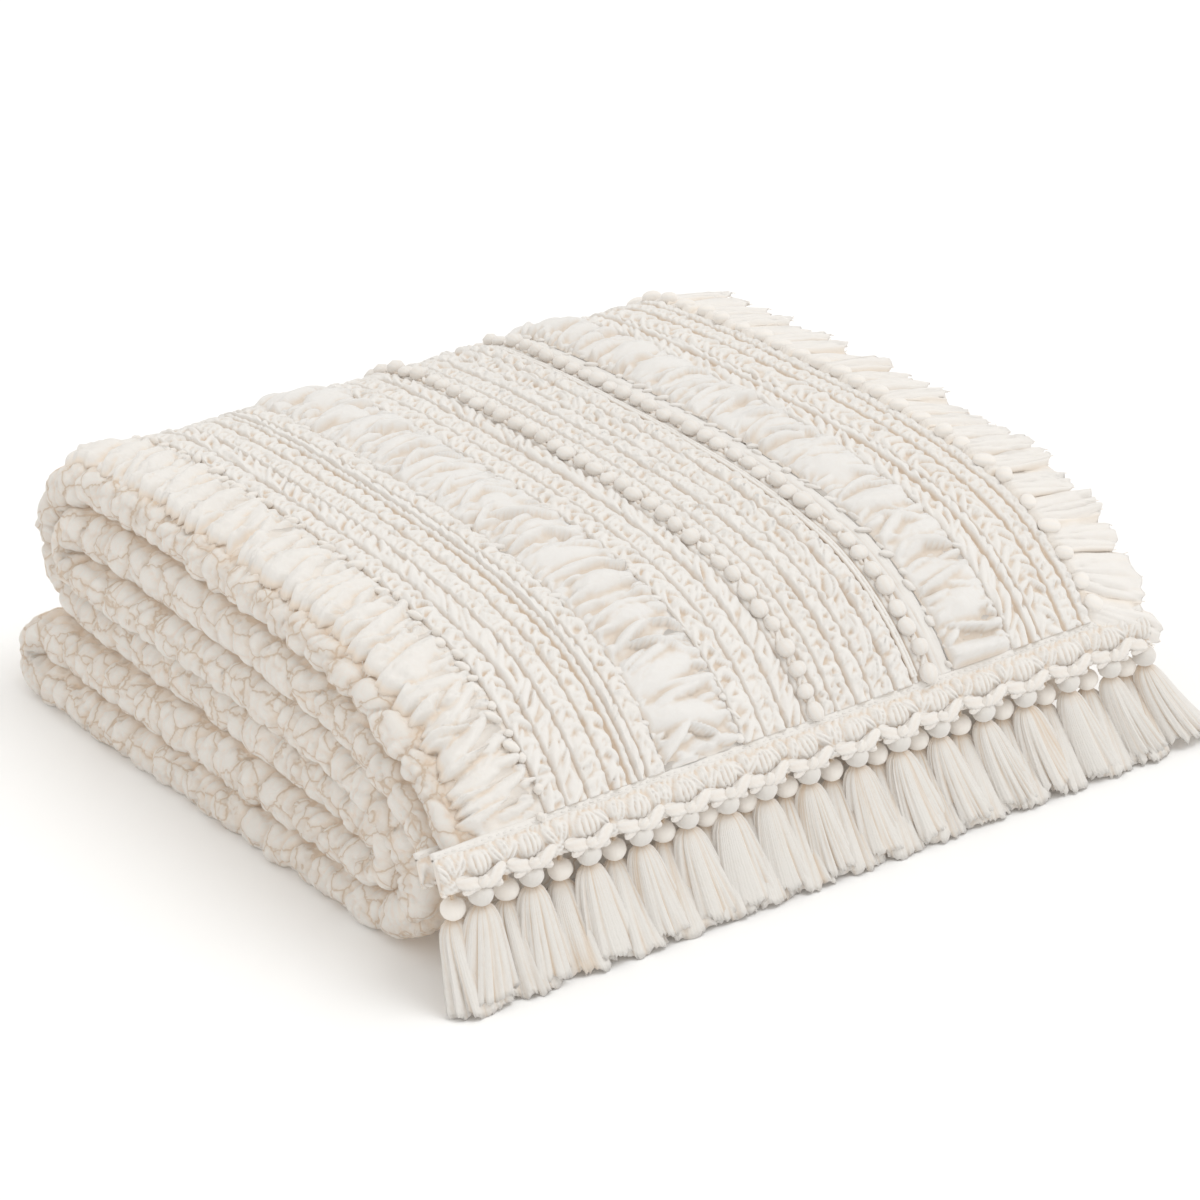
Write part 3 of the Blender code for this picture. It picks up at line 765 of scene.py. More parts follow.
# %% Shells, gathers and wrinkles
ROLL_REACH = 0.0125       # how far a full roll stands out past the flat cloth
ROLL_RUN = 0.0185         # from the middle of the roll round to the flat cloth
FACE_REACH = 0.034        # how far in from the roll the puffs fade out
PUFF_REST = 0.0018        # height of the puffs that counts as the cloth's own level

# how far apart creases of each kind are, how far they bow over the roll's width, and how they wander
SHELLS = {"shortest": 0.014, "longest": 0.032, "arc": 0.0060, "reach": 0.020, "wander": 0.0030}
SMALL_GATHERS = {"shortest": 0.0045, "longest": 0.0085, "arc": 0.0020, "reach": 0.020, "wander": 0.0015}
TUCKS = {"shortest": 0.008, "longest": 0.015, "arc": 0.003, "reach": 0.014, "wander": 0.0015}


def creases(run, round_it, forward, seed, shortest, longest, arc, reach, wander):
    """Lengths from the curved crease behind a place and to the one in front, and which puff it is on."""
    marks = np.cumsum(np.random.default_rng(seed).uniform(shortest, longest, int(3.2 / shortest))) - 0.1
    bowed = run - forward * arc * (1 - (round_it / reach) ** 2)
    bowed = bowed + wander * noise(run, round_it, 0.011, seed + 1)
    i = np.clip(np.searchsorted(marks, bowed) - 1, 0, len(marks) - 2)
    after = bowed - marks[i]
    before = marks[i + 1] - bowed
    return np.where(forward > 0, before, after), np.where(forward > 0, after, before), i


def puffs(run, round_it, seed):
    """Height of the rolled edge, and hollow for its painted shade, from the place along it and round it."""
    forward = np.sign(along(run, tangent[:, 0]))
    behind, ahead, which = creases(run, round_it, forward, seed, **SHELLS)
    size = np.random.default_rng(seed + 5).uniform(0.75, 1.2, 400)[which % 400]
    bulge = (1 - np.exp(-behind / 0.0030)) * (1 - np.exp(-(ahead + 0.001) / 0.0075))
    crease = bell(np.minimum(behind, ahead), 0.0010)
    height = 0.0032 * size * bulge - 0.0018 * crease
    behind, ahead, _ = creases(run, round_it, forward, seed + 10, **SMALL_GATHERS)
    where = ease(0.5 + 1.1 * noise(run, round_it, 0.012, seed + 12))
    small = bell(np.minimum(behind, ahead), 0.0008)
    height = height + where * (0.0006 * (1 - np.exp(-behind / 0.0016)) - 0.0008 * small)
    behind, ahead, _ = creases(run, round_it, -forward, seed + 20, **TUCKS)
    seam = ease((np.abs(round_it) - 0.0125) / 0.006)
    tuck = bell(np.minimum(behind, ahead), 0.0011)
    height = height - seam * (0.0012 * tuck + 0.0006 * noise(run, round_it, 0.0045, seed + 22))
    bent = run + 0.5 * forward * round_it + 0.003 * noise(run, round_it, 0.010, seed + 31)
    border = puff_borders(bent, round_it + 0.2, 0.0200, seed + 30)
    puffed = np.minimum(border / 0.45, 1) ** 0.55
    wrinkled = crumpled(run, round_it, 0.0085, seed + 33)
    height = height + 0.0027 * (puffed - 0.65) + 0.0026 * (wrinkled - 0.25)
    # The hollow value is painted shade in the shells' creases, gathers, tucks and puff borders.
    hollow = 0.60 * crease + 0.3 * where * small + 0.35 * seam * tuck + 0.40 * bell(border, 0.06)
    return height, hollow


# %% The rolled edges and the quilt
BODY_STEP = 0.0019
FLOOR_GAP = 0.0003
stations = np.linspace(0, LENGTH, int(LENGTH / BODY_STEP))
ROLL_ANGLES = np.radians(np.linspace(90, -90, 21))
FLAT_REACH = np.array([FACE_REACH, 0.0250, 0.0185, 0.0140, 0.0105, 0.0075, 0.0048, 0.0023])
CHANNELS = (0.129, 0.298, 0.410, 0.731, 0.825)
CHANNEL_DIP = 0.0006


def rolled_edge(inward, seed):
    """Points round one long edge of the quilt, from its face, round the roll, to its back."""
    edge = across(stations, 0.0 if inward > 0 else 1.0)
    half = half_thickness(stations)
    reach = np.interp(half, [0.004, 0.011], [0.006, ROLL_REACH])
    over = along(stations, room_over)
    under = along(stations, room_under)
    thin = 1 if inward > 0 else 2
    rows = [("flat", 1, d) for d in FLAT_REACH[::thin]] + [("roll", 0, a) for a in ROLL_ANGLES[::thin]]
    rows += [("flat", -1, d) for d in FLAT_REACH[::thin][::-1]]
    points, shaded, maps = [], [], []
    for kind, side_sign, value in rows:
        if kind == "flat":
            fade = ease(value / FACE_REACH)
            swollen = over if side_sign > 0 else under
            height = side_sign * (swollen * (1 - fade) + half * fade)
            x = edge + inward * (reach + value)
            out_x, out_h = 0.0, float(side_sign)
            round_it = side_sign * (ROLL_RUN + value)
            strength = ease(1.25 * (1 - value / FACE_REACH))
            fade_out = fade
        else:
            swollen = over if value > 0 else under
            height = swollen * math.sin(value)
            x = edge + inward * reach * (1 - math.cos(value))
            out_x, out_h = -inward * math.cos(value), math.sin(value)
            round_it = ROLL_RUN * value / (0.5 * math.pi)
            strength = 1.0
            fade_out = 0.0
        lift, hollow = puffs(stations, np.full_like(stations, round_it), seed)
        lift = (lift - PUFF_REST) * strength * half / (0.5 * QUILT_THICKNESS)
        points.append(place(stations, x + out_x * lift, height + out_h * lift))
        # Painted shade towards the flat cloth beside the roll, where it faces the next layer.
        gap_shade = 0.45 * ease((abs(round_it) - 0.0115) / 0.006) * (1 - 0.5 * fade_out)
        shaded.append(hollow * strength + gap_shade)
        maps.append(np.column_stack([np.full_like(stations, inward * (0.3 + round_it)), stations]))
    return points, shaded, maps


def quilt_skin():
    """The whole quilt as one closed tube: near roll, back, far roll and face."""
    near_points, near_hollows, near_maps = rolled_edge(1, 11)
    far_points, far_hollows, far_maps = rolled_edge(-1, 57)
    half = half_thickness(stations)
    channels = [across(stations, share) for share in CHANNELS]
    back_rows = [place(stations, x, CHANNEL_DIP - half) for x in channels]
    face_rows = [place(stations, x, half - CHANNEL_DIP) for x in channels[::-1]]
    rings = near_points + back_rows + far_points[::-1] + face_rows
    flat = [np.zeros_like(stations)] * len(channels)
    hollow = near_hollows + flat + far_hollows[::-1] + flat
    channel_maps = [np.column_stack([x, stations]) for x in channels]
    maps = near_maps + channel_maps + far_maps[::-1] + channel_maps[::-1]
    points = np.stack(rings, axis=1)
    points[..., 2] = np.maximum(points[..., 2], FLOOR_GAP)
    return new_tube("quilt", points, quilt_finish, np.stack(maps, axis=1), np.stack(hollow, axis=1))


quilt = quilt_skin()
stand_for(quilt, "quilted_body")
print("quilt:", len(quilt.data.polygons), "faces")

# %% [markdown]
# ## Rows of cords, bobbles and stitches
# Cords, bobbles, balls and running stitches each repeat one small shape along a line, which is
# what Geometry Nodes do well. Two trees make them all: one plies yarns round a rail, and one sets
# copies of a small lobe along a rail. A rail is a line on the cloth that carries its own upward
# direction, so rows follow the folds.

# %% Trees for rows
class Plan(NodeMaker):
    """A Geometry Nodes tree with named inputs, run on a rail to give a plain mesh."""

    def __init__(self, name):
        self.tree = bpy.data.node_groups.new(name, "GeometryNodeTree")
        self.entry = self.tree.nodes.new("NodeGroupInput")
        self.leave = self.tree.nodes.new("NodeGroupOutput")
        self.tree.interface.new_socket("Result", in_out="OUTPUT", socket_type="NodeSocketGeometry")
        self.named = {}

    def size(self, name, kind="NodeSocketFloat"):
        """A named input of the tree."""
        made = self.tree.interface.new_socket(name, in_out="INPUT", socket_type=kind)
        self.named[name] = made.identifier
        return Value(self.tree, self.entry.outputs[name])

    def vector(self, operation, first, second, output=0):
        return self.node("ShaderNodeVectorMath", {"operation": operation}, {0: first, 1: second}, output)

    def scaled(self, vector, length):
        return self.node("ShaderNodeVectorMath", {"operation": "SCALE"}, {0: vector, "Scale": length})

    def stored(self, name):
        """A direction or place that the mesh carries under a name."""
        return self.node("GeometryNodeInputNamedAttribute", {"data_type": "FLOAT_VECTOR"}, {"Name": name})

    def random(self, low, high, seed, shift=0):
        return self.node(
            "FunctionNodeRandomValue", {"data_type": "FLOAT"}, {2: low, 3: high, "Seed": seed + shift}, 1)

    def end(self, geometry, finish):
        """Shades, realizes and gives the finish, then leaves the tree."""
        smooth = self.node("GeometryNodeSetShadeSmooth", inputs={"Geometry": geometry})
        real = self.node("GeometryNodeRealizeInstances", inputs={"Geometry": smooth})
        done = self.node("GeometryNodeSetMaterial", inputs={"Geometry": real, "Material": finish})
        self.tree.links.new(done.socket, self.leave.inputs[0])

    def grow(self, name, rail, **sizes):
        """Runs the tree on a rail object and returns the result as a mesh."""
        modifier = rail.modifiers.new("plan", "NODES")
        modifier.node_group = self.tree
        for key, value in sizes.items():
            modifier[self.named[key]] = value
        evaluated = rail.evaluated_get(bpy.context.evaluated_depsgraph_get())
        mesh = bpy.data.meshes.new_from_object(evaluated)
        mesh.name = name
        rail.modifiers.remove(modifier)
        return mesh


def plied_cord_plan():
    """Yarns wound round a rail, flattened and uneven: one yarn makes a plain cord."""
    plan = Plan("plied_cord")
    rail = plan.size("Rail", "NodeSocketGeometry")
    plies = plan.size("Plies", "NodeSocketInt")
    pitch = plan.size("Pitch")
    wide = plan.size("Wide")
    high = plan.size("High")
    yarn = plan.size("Yarn")
    uneven = plan.size("Uneven")
    seed = plan.size("Seed")
    finish = plan.size("Finish", "NodeSocketMaterial")
    up_side = plan.stored("up")
    curve = plan.node("GeometryNodeMeshToCurve", inputs={"Mesh": rail})
    curve = plan.node(
        "GeometryNodeResampleCurve", {"mode": "LENGTH"}, {"Curve": curve, "Length": pitch / 9.0})
    home = plan.node("GeometryNodeInputPosition")
    curve = plan.node("GeometryNodeStoreNamedAttribute", {"data_type": "FLOAT_VECTOR"},
                      {"Geometry": curve, "Name": "home", "Value": home})
    copies = plan.node("GeometryNodeDuplicateElements", {"domain": "SPLINE"},
                       {"Geometry": curve, "Amount": plies})
    which = Value(plan.tree, copies.socket.node.outputs["Duplicate Index"])
    length = plan.node("GeometryNodeSplineParameter", output="Length")
    tangent_now = plan.node("GeometryNodeInputTangent")
    side_now = plan.vector("CROSS_PRODUCT", tangent_now, up_side)
    wander = plan.node("ShaderNodeTexNoise", {"noise_dimensions": "4D"},
                       {"Vector": home, "W": seed + which * 3.7, "Scale": 70.0, "Detail": 1.0})
    phase = 2 * math.pi * (length / pitch + which / plies + (wander - 0.5) * uneven)
    swell = 1.0 + (wander - 0.5) * uneven * 2.4
    sideways = plan.scaled(side_now, wide * phase.sine() * swell)
    upwards = plan.scaled(up_side, high * (phase + 0.5 * math.pi).sine())
    moved = plan.node("GeometryNodeSetPosition",
                      inputs={"Geometry": copies, "Offset": plan.vector("ADD", sideways, upwards)})
    ring = plan.node("GeometryNodeCurvePrimitiveCircle", inputs={"Resolution": 6, "Radius": 1.0})
    mesh = plan.node("GeometryNodeCurveToMesh",
                     inputs={"Curve": moved, "Profile Curve": ring, "Scale": yarn * swell, "Fill Caps": True})
    off_home = plan.vector("SUBTRACT", plan.node("GeometryNodeInputPosition"), plan.stored("home"))
    rise = plan.vector("DOT_PRODUCT", off_home, up_side, 1)
    # Painted shade: the lower side of each yarn gets a higher hollow value.
    underside_shade = (0.62 - rise / (high + yarn) * 0.75).limited()
    mesh = plan.node("GeometryNodeStoreNamedAttribute", {"data_type": "FLOAT"},
                     {"Geometry": mesh, "Name": "hollow", "Value": underside_shade})
    plan.end(mesh, finish)
    return plan


def lobe_row_plan():
    """Copies of a small shape set along a rail, with a tilt, a stagger and uneven sizes."""
    plan = Plan("lobe_row")
    rail = plan.size("Rail", "NodeSocketGeometry")
    shape = plan.size("Shape", "NodeSocketObject")
    spacing = plan.size("Spacing")
    long = plan.size("Long")
    wide = plan.size("Wide")
    high = plan.size("High")
    tilt = plan.size("Tilt")
    stagger = plan.size("Stagger")
    uneven = plan.size("Uneven")
    seed = plan.size("Seed", "NodeSocketInt")
    finish = plan.size("Finish", "NodeSocketMaterial")
    up_side = plan.stored("up")
    curve = plan.node("GeometryNodeMeshToCurve", inputs={"Mesh": rail})
    curve = plan.node("GeometryNodeResampleCurve", {"mode": "LENGTH"}, {"Curve": curve, "Length": spacing})
    tangent_now = plan.node("GeometryNodeInputTangent")
    side_now = plan.vector("CROSS_PRODUCT", tangent_now, up_side)
    index = plan.node("GeometryNodeInputIndex")
    parity = index.sum("FLOORED_MODULO", index, 2.0) * 2.0 - 1.0
    sideways = stagger * parity + wide * uneven * plan.random(-0.4, 0.4, seed)
    lengthwise = spacing * uneven * plan.random(-0.6, 0.6, seed, 1)
    offset = plan.vector("ADD", plan.scaled(side_now, sideways), plan.scaled(tangent_now, lengthwise))
    points_now = plan.node("GeometryNodeSetPosition", inputs={"Geometry": curve, "Offset": offset})
    frame_now = plan.node("FunctionNodeAxesToRotation", {"primary_axis": "Z", "secondary_axis": "X"},
                          {"Primary Axis": up_side, "Secondary Axis": tangent_now})
    angle = tilt + uneven * plan.random(-0.9, 0.9, seed, 2)
    roll = uneven * plan.random(-0.5, 0.5, seed, 6)
    spin = plan.node("ShaderNodeCombineXYZ", inputs={"X": roll, "Z": angle})
    turned = plan.node("FunctionNodeRotateRotation", {"rotation_space": "LOCAL"},
                       {"Rotation": frame_now, "Rotate By": spin})
    sizes = plan.node("ShaderNodeCombineXYZ", inputs={
        "X": long * (1.0 + uneven * plan.random(-0.7, 0.7, seed, 3)),
        "Y": wide * (1.0 + uneven * plan.random(-0.7, 0.7, seed, 4)),
        "Z": high * (1.0 + uneven * plan.random(-0.7, 0.7, seed, 5))})
    copy = plan.node("GeometryNodeObjectInfo", inputs={"Object": shape}, output="Geometry")
    copies = plan.node("GeometryNodeInstanceOnPoints", inputs={
        "Points": points_now, "Instance": copy, "Rotation": turned, "Scale": sizes})
    plan.end(copies, finish)
    return plan


cord_plan = plied_cord_plan()
row_plan = lobe_row_plan()
print("plans ready:", len(cord_plan.tree.nodes), "and", len(row_plan.tree.nodes), "nodes")


# %% Small shapes
def lobe(name, lengthwise, around, blunt=2.0, ribs=0, depth=0.0, twist=0.0, seat=0.15):
    """A closed lobe one unit long, wide and high, its ends along X, with gathers end to end."""
    place_x = -np.cos(np.linspace(0, math.pi, lengthwise + 2))[1:-1]
    angle = 2 * math.pi * np.arange(around) / around
    full = (1 - np.abs(place_x) ** blunt) ** 0.5
    groove = 1 - depth * (0.5 + 0.5 * np.cos(ribs * (angle[None, :] + twist * place_x[:, None])))
    radius = full[:, None] * groove
    y = 0.5 * radius * np.cos(angle)
    z = 0.5 + 0.5 * radius * np.sin(angle)
    x = np.broadcast_to(0.5 * place_x[:, None], y.shape)
    points = np.concatenate([[[-0.5, 0, 0.5]], np.stack([x, y, z], -1).reshape(-1, 3), [[0.5, 0, 0.5]]])
    points[:, 2] = np.maximum(points[:, 2], seat)
    ring = 1 + np.arange(lengthwise * around).reshape(lengthwise, around)
    following = np.roll(ring, -1, axis=1)
    faces = np.stack([ring[:-1], following[:-1], following[1:], ring[1:]], -1).reshape(-1, 4).tolist()
    last = len(points) - 1
    faces += [[0, b, a] for a, b in zip(ring[0], following[0])]
    faces += [[last, a, b] for a, b in zip(ring[-1], following[-1])]
    # Painted shade in the grooves, at the ends and on the lower part of each lobe.
    grooved = 0.75 * (1 - groove) / depth if depth else 0 * groove
    hollow = np.concatenate([[0.7], grooved.ravel(), [0.7]])
    hollow = hollow * 0.28 + 0.25 * np.clip(0.45 - points[:, 2], 0, 1)
    faces = [[int(corner) for corner in face] for face in faces]
    made = face_outwards(new_piece(name, points, faces, cord_finish, hollow=hollow))
    made.hide_render = True
    return made


pleat_shape = lobe("pleat_shape", 4, 5, blunt=4.0, seat=0.3)
bobble_shape = lobe("bobble_shape", 7, 14, blunt=2.2, ribs=7, depth=0.10, seat=0.05)
puff_shape = lobe("puff_shape", 6, 9, blunt=2.0, ribs=3, depth=0.26, twist=0.7)
print("faces of a bobble:", len(bobble_shape.data.polygons))


# %% Rails, and the rows on them
def rail_through(points, rising, edges=None):
    """A rail through points that are already in place, with an upward direction for each."""
    mesh = bpy.data.meshes.new("rail")
    edges = edges or [(i, i + 1) for i in range(len(points) - 1)]
    mesh.from_pydata(np.asarray(points).tolist(), edges, [])
    values = mesh.attributes.new("up", "FLOAT_VECTOR", "POINT")
    values.data.foreach_set("vector", np.broadcast_to(rising, (len(points), 3)).ravel())
    made = bpy.data.objects.new("rail", mesh)
    scene.collection.objects.link(made)
    return made


def rail(share, start, end, lift=0.0):
    """A rail along the cloth at a share of its width, lifted off its face."""
    w = np.linspace(start, end, max(int((end - start) / 0.002), 8))
    points = place(w, across(w, share), half_thickness(w) + 0.0012 + lift)
    return rail_through(points, np.column_stack([0 * w, along(w, upward[:, 0]), along(w, upward[:, 1])]))


def merge(name, meshes):
    """One object from several meshes, which are used up."""
    for chosen in list(bpy.context.selected_objects):
        chosen.select_set(False)
    parts = [bpy.data.objects.new(name, mesh) for mesh in meshes]
    for part in parts:
        scene.collection.objects.link(part)
        part.select_set(True)
    bpy.context.view_layer.objects.active = parts[0]
    bpy.ops.object.join()
    joined = parts[0]
    joined.select_set(False)
    joined.name = name
    return joined


def grown(plan, line_here, **sizes):
    """The mesh that a plan grows on a rail, which is used up."""
    mesh = plan.grow("row", line_here, **sizes)
    bpy.data.objects.remove(line_here)
    return mesh


def cord_row(at, start, end, plies=1, pitch=0.016, wide=0.0, high=0.0, yarn=0.0008, uneven=0.0, lift=0.0):
    """A plied cord along the cloth at a share of its width."""
    return grown(cord_plan, rail(at, start, end, lift + yarn + high), Plies=plies, Pitch=pitch, Wide=wide,
                 High=high, Yarn=yarn, Uneven=uneven, Seed=1000 * at, Finish=cord_finish)


def lobe_row(at, start, end, shape, spacing, long, wide, high, tilt=0.0, stagger=0.0, uneven=0.2,
             finish=cord_finish):
    """Copies of a small shape along the cloth at a share of its width."""
    return grown(row_plan, rail(at, start, end), Shape=shape, Spacing=spacing, Long=long, Wide=wide,
                 High=high, Tilt=tilt, Stagger=stagger, Uneven=uneven, Seed=int(9999 * at), Finish=finish)


def cord_row_at(at, yarn):
    return lambda start, end: cord_row(at, start, end, yarn=yarn, pitch=0.030, uneven=0.25, lift=0.0001)


def bobbles(at, size=0.0110, spacing=0.0133):
    return lambda start, end: lobe_row(at, start, end, bobble_shape, spacing, size, size, 0.0088, uneven=0.27)


def collars(at, spacing=0.0135):
    return lambda start, end: cord_row(at, start, end, 2, spacing, 0.0016, 0.0008, 0.0014, 0.35)


# %% [markdown]
# ## Gathered cloth: ruffles and ruched bands
# A ruffle is a strip of thin cloth gathered along one side, and a ruched band is gathered at both.
# Both could be simulated, but their folds are placed by the maker's hand, uneven and leaning one
# way. On the near ruffle and the bands, which lie on the quilt, each fold is a long lobe raised
# from the cloth, with its own length, width, height and angle, and short tables hold the rows of
# lobes. The far ruffle stands free: each of its folds is a fan that spreads from a ball at the
# seam and leans over the next, so its points move along the strip as well as up.

# %% Raised folds
def raise_lobe(height, w, m, at, middle, long, wide, tall, angle, ribs, bend, taper=0.0, lean=0.0, power=0.5):
    """Raises one gathered lobe from a relief, merging a little into what it lies on. The grids w
    and m hold each point's place along the strip and across it."""
    rows = np.abs(w[:, 0] - at) < max(long, wide)
    dw, dm = w[rows] - at, m - middle
    c, s = math.cos(math.radians(angle)), math.sin(math.radians(angle))
    lengthwise = (dw * c + dm * s) / (0.5 * long)
    crosswise = (dm * c - dw * s) / (0.5 * wide)
    crosswise = (crosswise + bend * lengthwise ** 2) / (1 - taper * np.clip(lengthwise, -1.2, 1.2))
    crosswise = crosswise + lean * (1 - np.minimum(crosswise ** 2, 1))
    far_out = np.sqrt(lengthwise ** 2 + crosswise ** 2)
    lobe_height = 0.0006 + tall * np.clip(1 - far_out ** 2, 0, 1) ** power - 0.02 * np.maximum(far_out - 1, 0)
    if ribs:
        round_it = 0.5 * ribs * crosswise / np.sqrt(np.clip(1 - lengthwise ** 2, 0.12, 1)) + 0.2 * lengthwise
        lobe_height = lobe_height * (1 - 0.30 * bell(np.mod(round_it + 0.5, 1) - 0.5, 0.13))
    under = height[rows]
    height[rows] = 0.5 * (under + lobe_height + np.sqrt((under - lobe_height) ** 2 + 0.0005 ** 2))


def raise_row(height, w, m, row, width, seed, tapers=(-0.3, 0.4), power=0.5):
    """Raises a row of uneven lobes along a strip. The row holds their place in the strip, pitch,
    length, width, height, angle from the strip in degrees and ribs."""
    place_in, pitch, long, wide, high, angle, ribs = row
    rng = np.random.default_rng(seed)
    at = w[0, 0] + rng.uniform(0, pitch)
    while at < w[-1, 0]:
        sizes = np.array([long, wide, high]) * rng.uniform(0.72, 1.22, 3)
        middle = (place_in + rng.normal(0, 0.06)) * width
        raise_lobe(height, w, m, at, middle, *sizes, angle + rng.normal(0, 13), ribs,
                   rng.normal(0, 0.20), rng.uniform(*tapers), rng.uniform(-0.45, 0.45), power)
        at += pitch * rng.uniform(0.72, 1.28)


# %% Gathered sheets
def grid_normals(points):
    """Unit normals of a grid of points."""
    normal = np.cross(np.gradient(points, axis=0), np.gradient(points, axis=1))
    return normal / np.maximum(np.linalg.norm(normal, axis=2), 1e-12)[..., None]


def thin_sheet(name, points, thickness, finish, cloth, hollow):
    """A closed sheet of cloth around a grid of middle points."""
    offset = 0.5 * thickness * grid_normals(points)
    return new_sheet(name, points + offset, points - offset, finish, cloth, hollow)


def sheet_area(points):
    """Area of a grid of points."""
    side_a = np.diff(points, axis=0)[:, :-1]
    side_b = np.diff(points, axis=1)[:-1]
    return float(np.linalg.norm(np.cross(side_a, side_b), axis=2).sum())


def laid_sheet(name, points, thickness, finish, cloth, hollow, backs):
    """A closed sheet whose hidden back has only a few rows, at the columns named in backs."""
    under = points[:, backs] - thickness * grid_normals(points)[:, backs]
    ring = np.concatenate([points, under], axis=1)
    cloth = np.concatenate([cloth, cloth[:, backs]], axis=1)
    # The hidden back gets a fixed painted shade.
    hollow = np.concatenate([hollow, np.full((len(points), len(backs)), 0.3)], axis=1)
    return new_tube(name, ring, finish, cloth, hollow)


def skin_height(run, x):
    """Height of the quilt's rolled face above its middle at some x, with its puffs."""
    inside = np.minimum(x - across(run, 0.0), across(run, 1.0) - x)
    t = np.clip(inside / ROLL_REACH, 0, 1)
    half = half_thickness(run)
    beyond = np.clip(inside - ROLL_REACH, 0, FACE_REACH)
    puff, _ = puffs(run, ROLL_RUN + beyond, 11)
    strength = ease(1.25 * (1 - beyond / FACE_REACH)) * half / (0.5 * QUILT_THICKNESS)
    return half * np.sqrt(1 - (1 - t) ** 2) + np.maximum(puff - PUFF_REST, 0) * strength


def declare_cloth(piece, node, points):
    """Says which solid the sheet stands for, and the size that it was cut to."""
    stand_for(piece, node)
    area = sheet_area(points)
    length = float(np.linalg.norm(np.diff(points[:, points.shape[1] // 2], axis=0), axis=1).sum())
    print(f"{piece.name}: flat {area / length:.3f} x {length:.3f} m, {len(piece.data.polygons)} faces")


# %% The two ruffles
top_start = 0.0046
ruffle_end = next(r for r, (y, z) in zip(runs, line[:, :2]) if r > 0.30 and y > 0.392)


def fold_stations(start, end, seed, shortest, longest, steps):
    """Places along the strip, closer together where each fold turns over: fold, share of it, length."""
    rng = np.random.default_rng(seed)
    marks = [start]
    while marks[-1] < end:
        marks.append(marks[-1] + rng.uniform(shortest, longest))
    last = marks[-1]
    marks = np.array(marks) * (end - start) / (last - start) + start * (last - end) / (last - start)
    i = np.repeat(np.arange(len(marks) - 1), steps)
    t = np.tile((np.arange(steps) / steps) ** 1.6, len(marks) - 1)
    return i[:, None], t[:, None], (marks[i + 1] - marks[i])[:, None], marks[i][:, None]


def turned_over(t, top):
    """How far a fold is turned over: nothing at its start, most at top, then a long slope."""
    return (t / top) * np.exp(1 - t / top)


def stations_along(start, end, step):
    """Places along the strip, further apart where it has gone over the back."""
    fine = np.arange(start, min(end, ruffle_end), step)
    coarse = np.arange(max(start, ruffle_end), end, 1.7 * step)
    return np.r_[fine, coarse, end][:, None]


def closeness(w, step):
    """How close the places are to the finest ones, where 1 is as close."""
    return np.minimum(step / np.gradient(w, axis=0), 1)


def ruffle_points(width, seed, notch):
    """The middle of the free ruffle: rows run from its seam to its free edge."""
    i, t, length, mark = fold_stations(top_start, ruffle_end, seed, 0.0165, 0.0240, 20)
    w = mark + t * length
    v = np.linspace(0, 1, 26)[None, :]
    rng = np.random.default_rng(seed + 1)
    of_each_fold = rng.uniform([0.55, 0.6, -1, 0], [1.25, 1.3, 1, 1], (60, 4))
    deep, bold, droop, shift = of_each_fold[i[:, 0]].T[:, :, None]
    ends = ease(np.minimum(w - top_start, ruffle_end - w) / 0.012)
    over = turned_over(t, 0.24 + 0.10 * shift)
    valley = np.minimum(t, 1 - t)
    lean = -(0.03 + 0.06 * v ** 0.8) * length * over * deep
    lean = lean + 0.62 * (1 - v) ** 1.5 * np.sin(2 * math.pi * t) * length / (2 * math.pi)
    streaks = math.pi * (4.2 * t ** 0.85 + 3 * shift + 0.5 * noise(t + i, v, 0.6, seed + 3))
    fine = np.abs(np.sin(streaks)) ** 0.7 - 0.7
    pinch = np.abs(np.sin(math.pi * (4.6 * t + 5 * shift))) ** 0.7 * bell(v, 0.16)
    arch = np.sin(math.pi * t ** 0.8) ** 0.9
    rise = (0.0022 + 0.0024 * v ** 0.6) * deep * (0.35 * over + 0.65 * arch)
    frill = round_folds(w + 0.002 * noise(w, v * width, 0.010, seed + 9), seed + 10, 0.0042, 0.0080)
    crumple = (0.0022 - 0.0008 * v) * fine * bold * v ** 0.2 + 0.0020 * pinch
    crumple = crumple + 0.0030 * (frill - 0.4) * v ** 2.0
    crumple = crumple + 0.0050 * (crumpled(w, 0.4 * v * width, 0.013, seed + 2) - 0.3) * v ** 0.5
    outline = 0.99 + 0.05 * (t - 0.5) * bold + 0.06 * np.sin(math.pi * t)
    outline = outline + 0.04 * noise(w, 0 * w, 0.012, seed + 4)
    outline = outline + 0.060 * noise(w, 0 * w, 0.0022, seed + 5) - notch * bell(valley * length, 0.0030) * v
    out = v * width * outline
    lift = (rise + crumple) * ends + 0.0030 * droop * v ** 1.5 * ends
    # Painted shade in the valleys between folds and along the seam, lighter on the streaks.
    hollow = 0.6 * bell(valley * length, 0.0014) + 0.35 * bell(v, 0.10) - 0.4 * fine * v
    return w, v, w + lean * ends, out, lift, hollow


THREAD_RADIUS = 0.00022


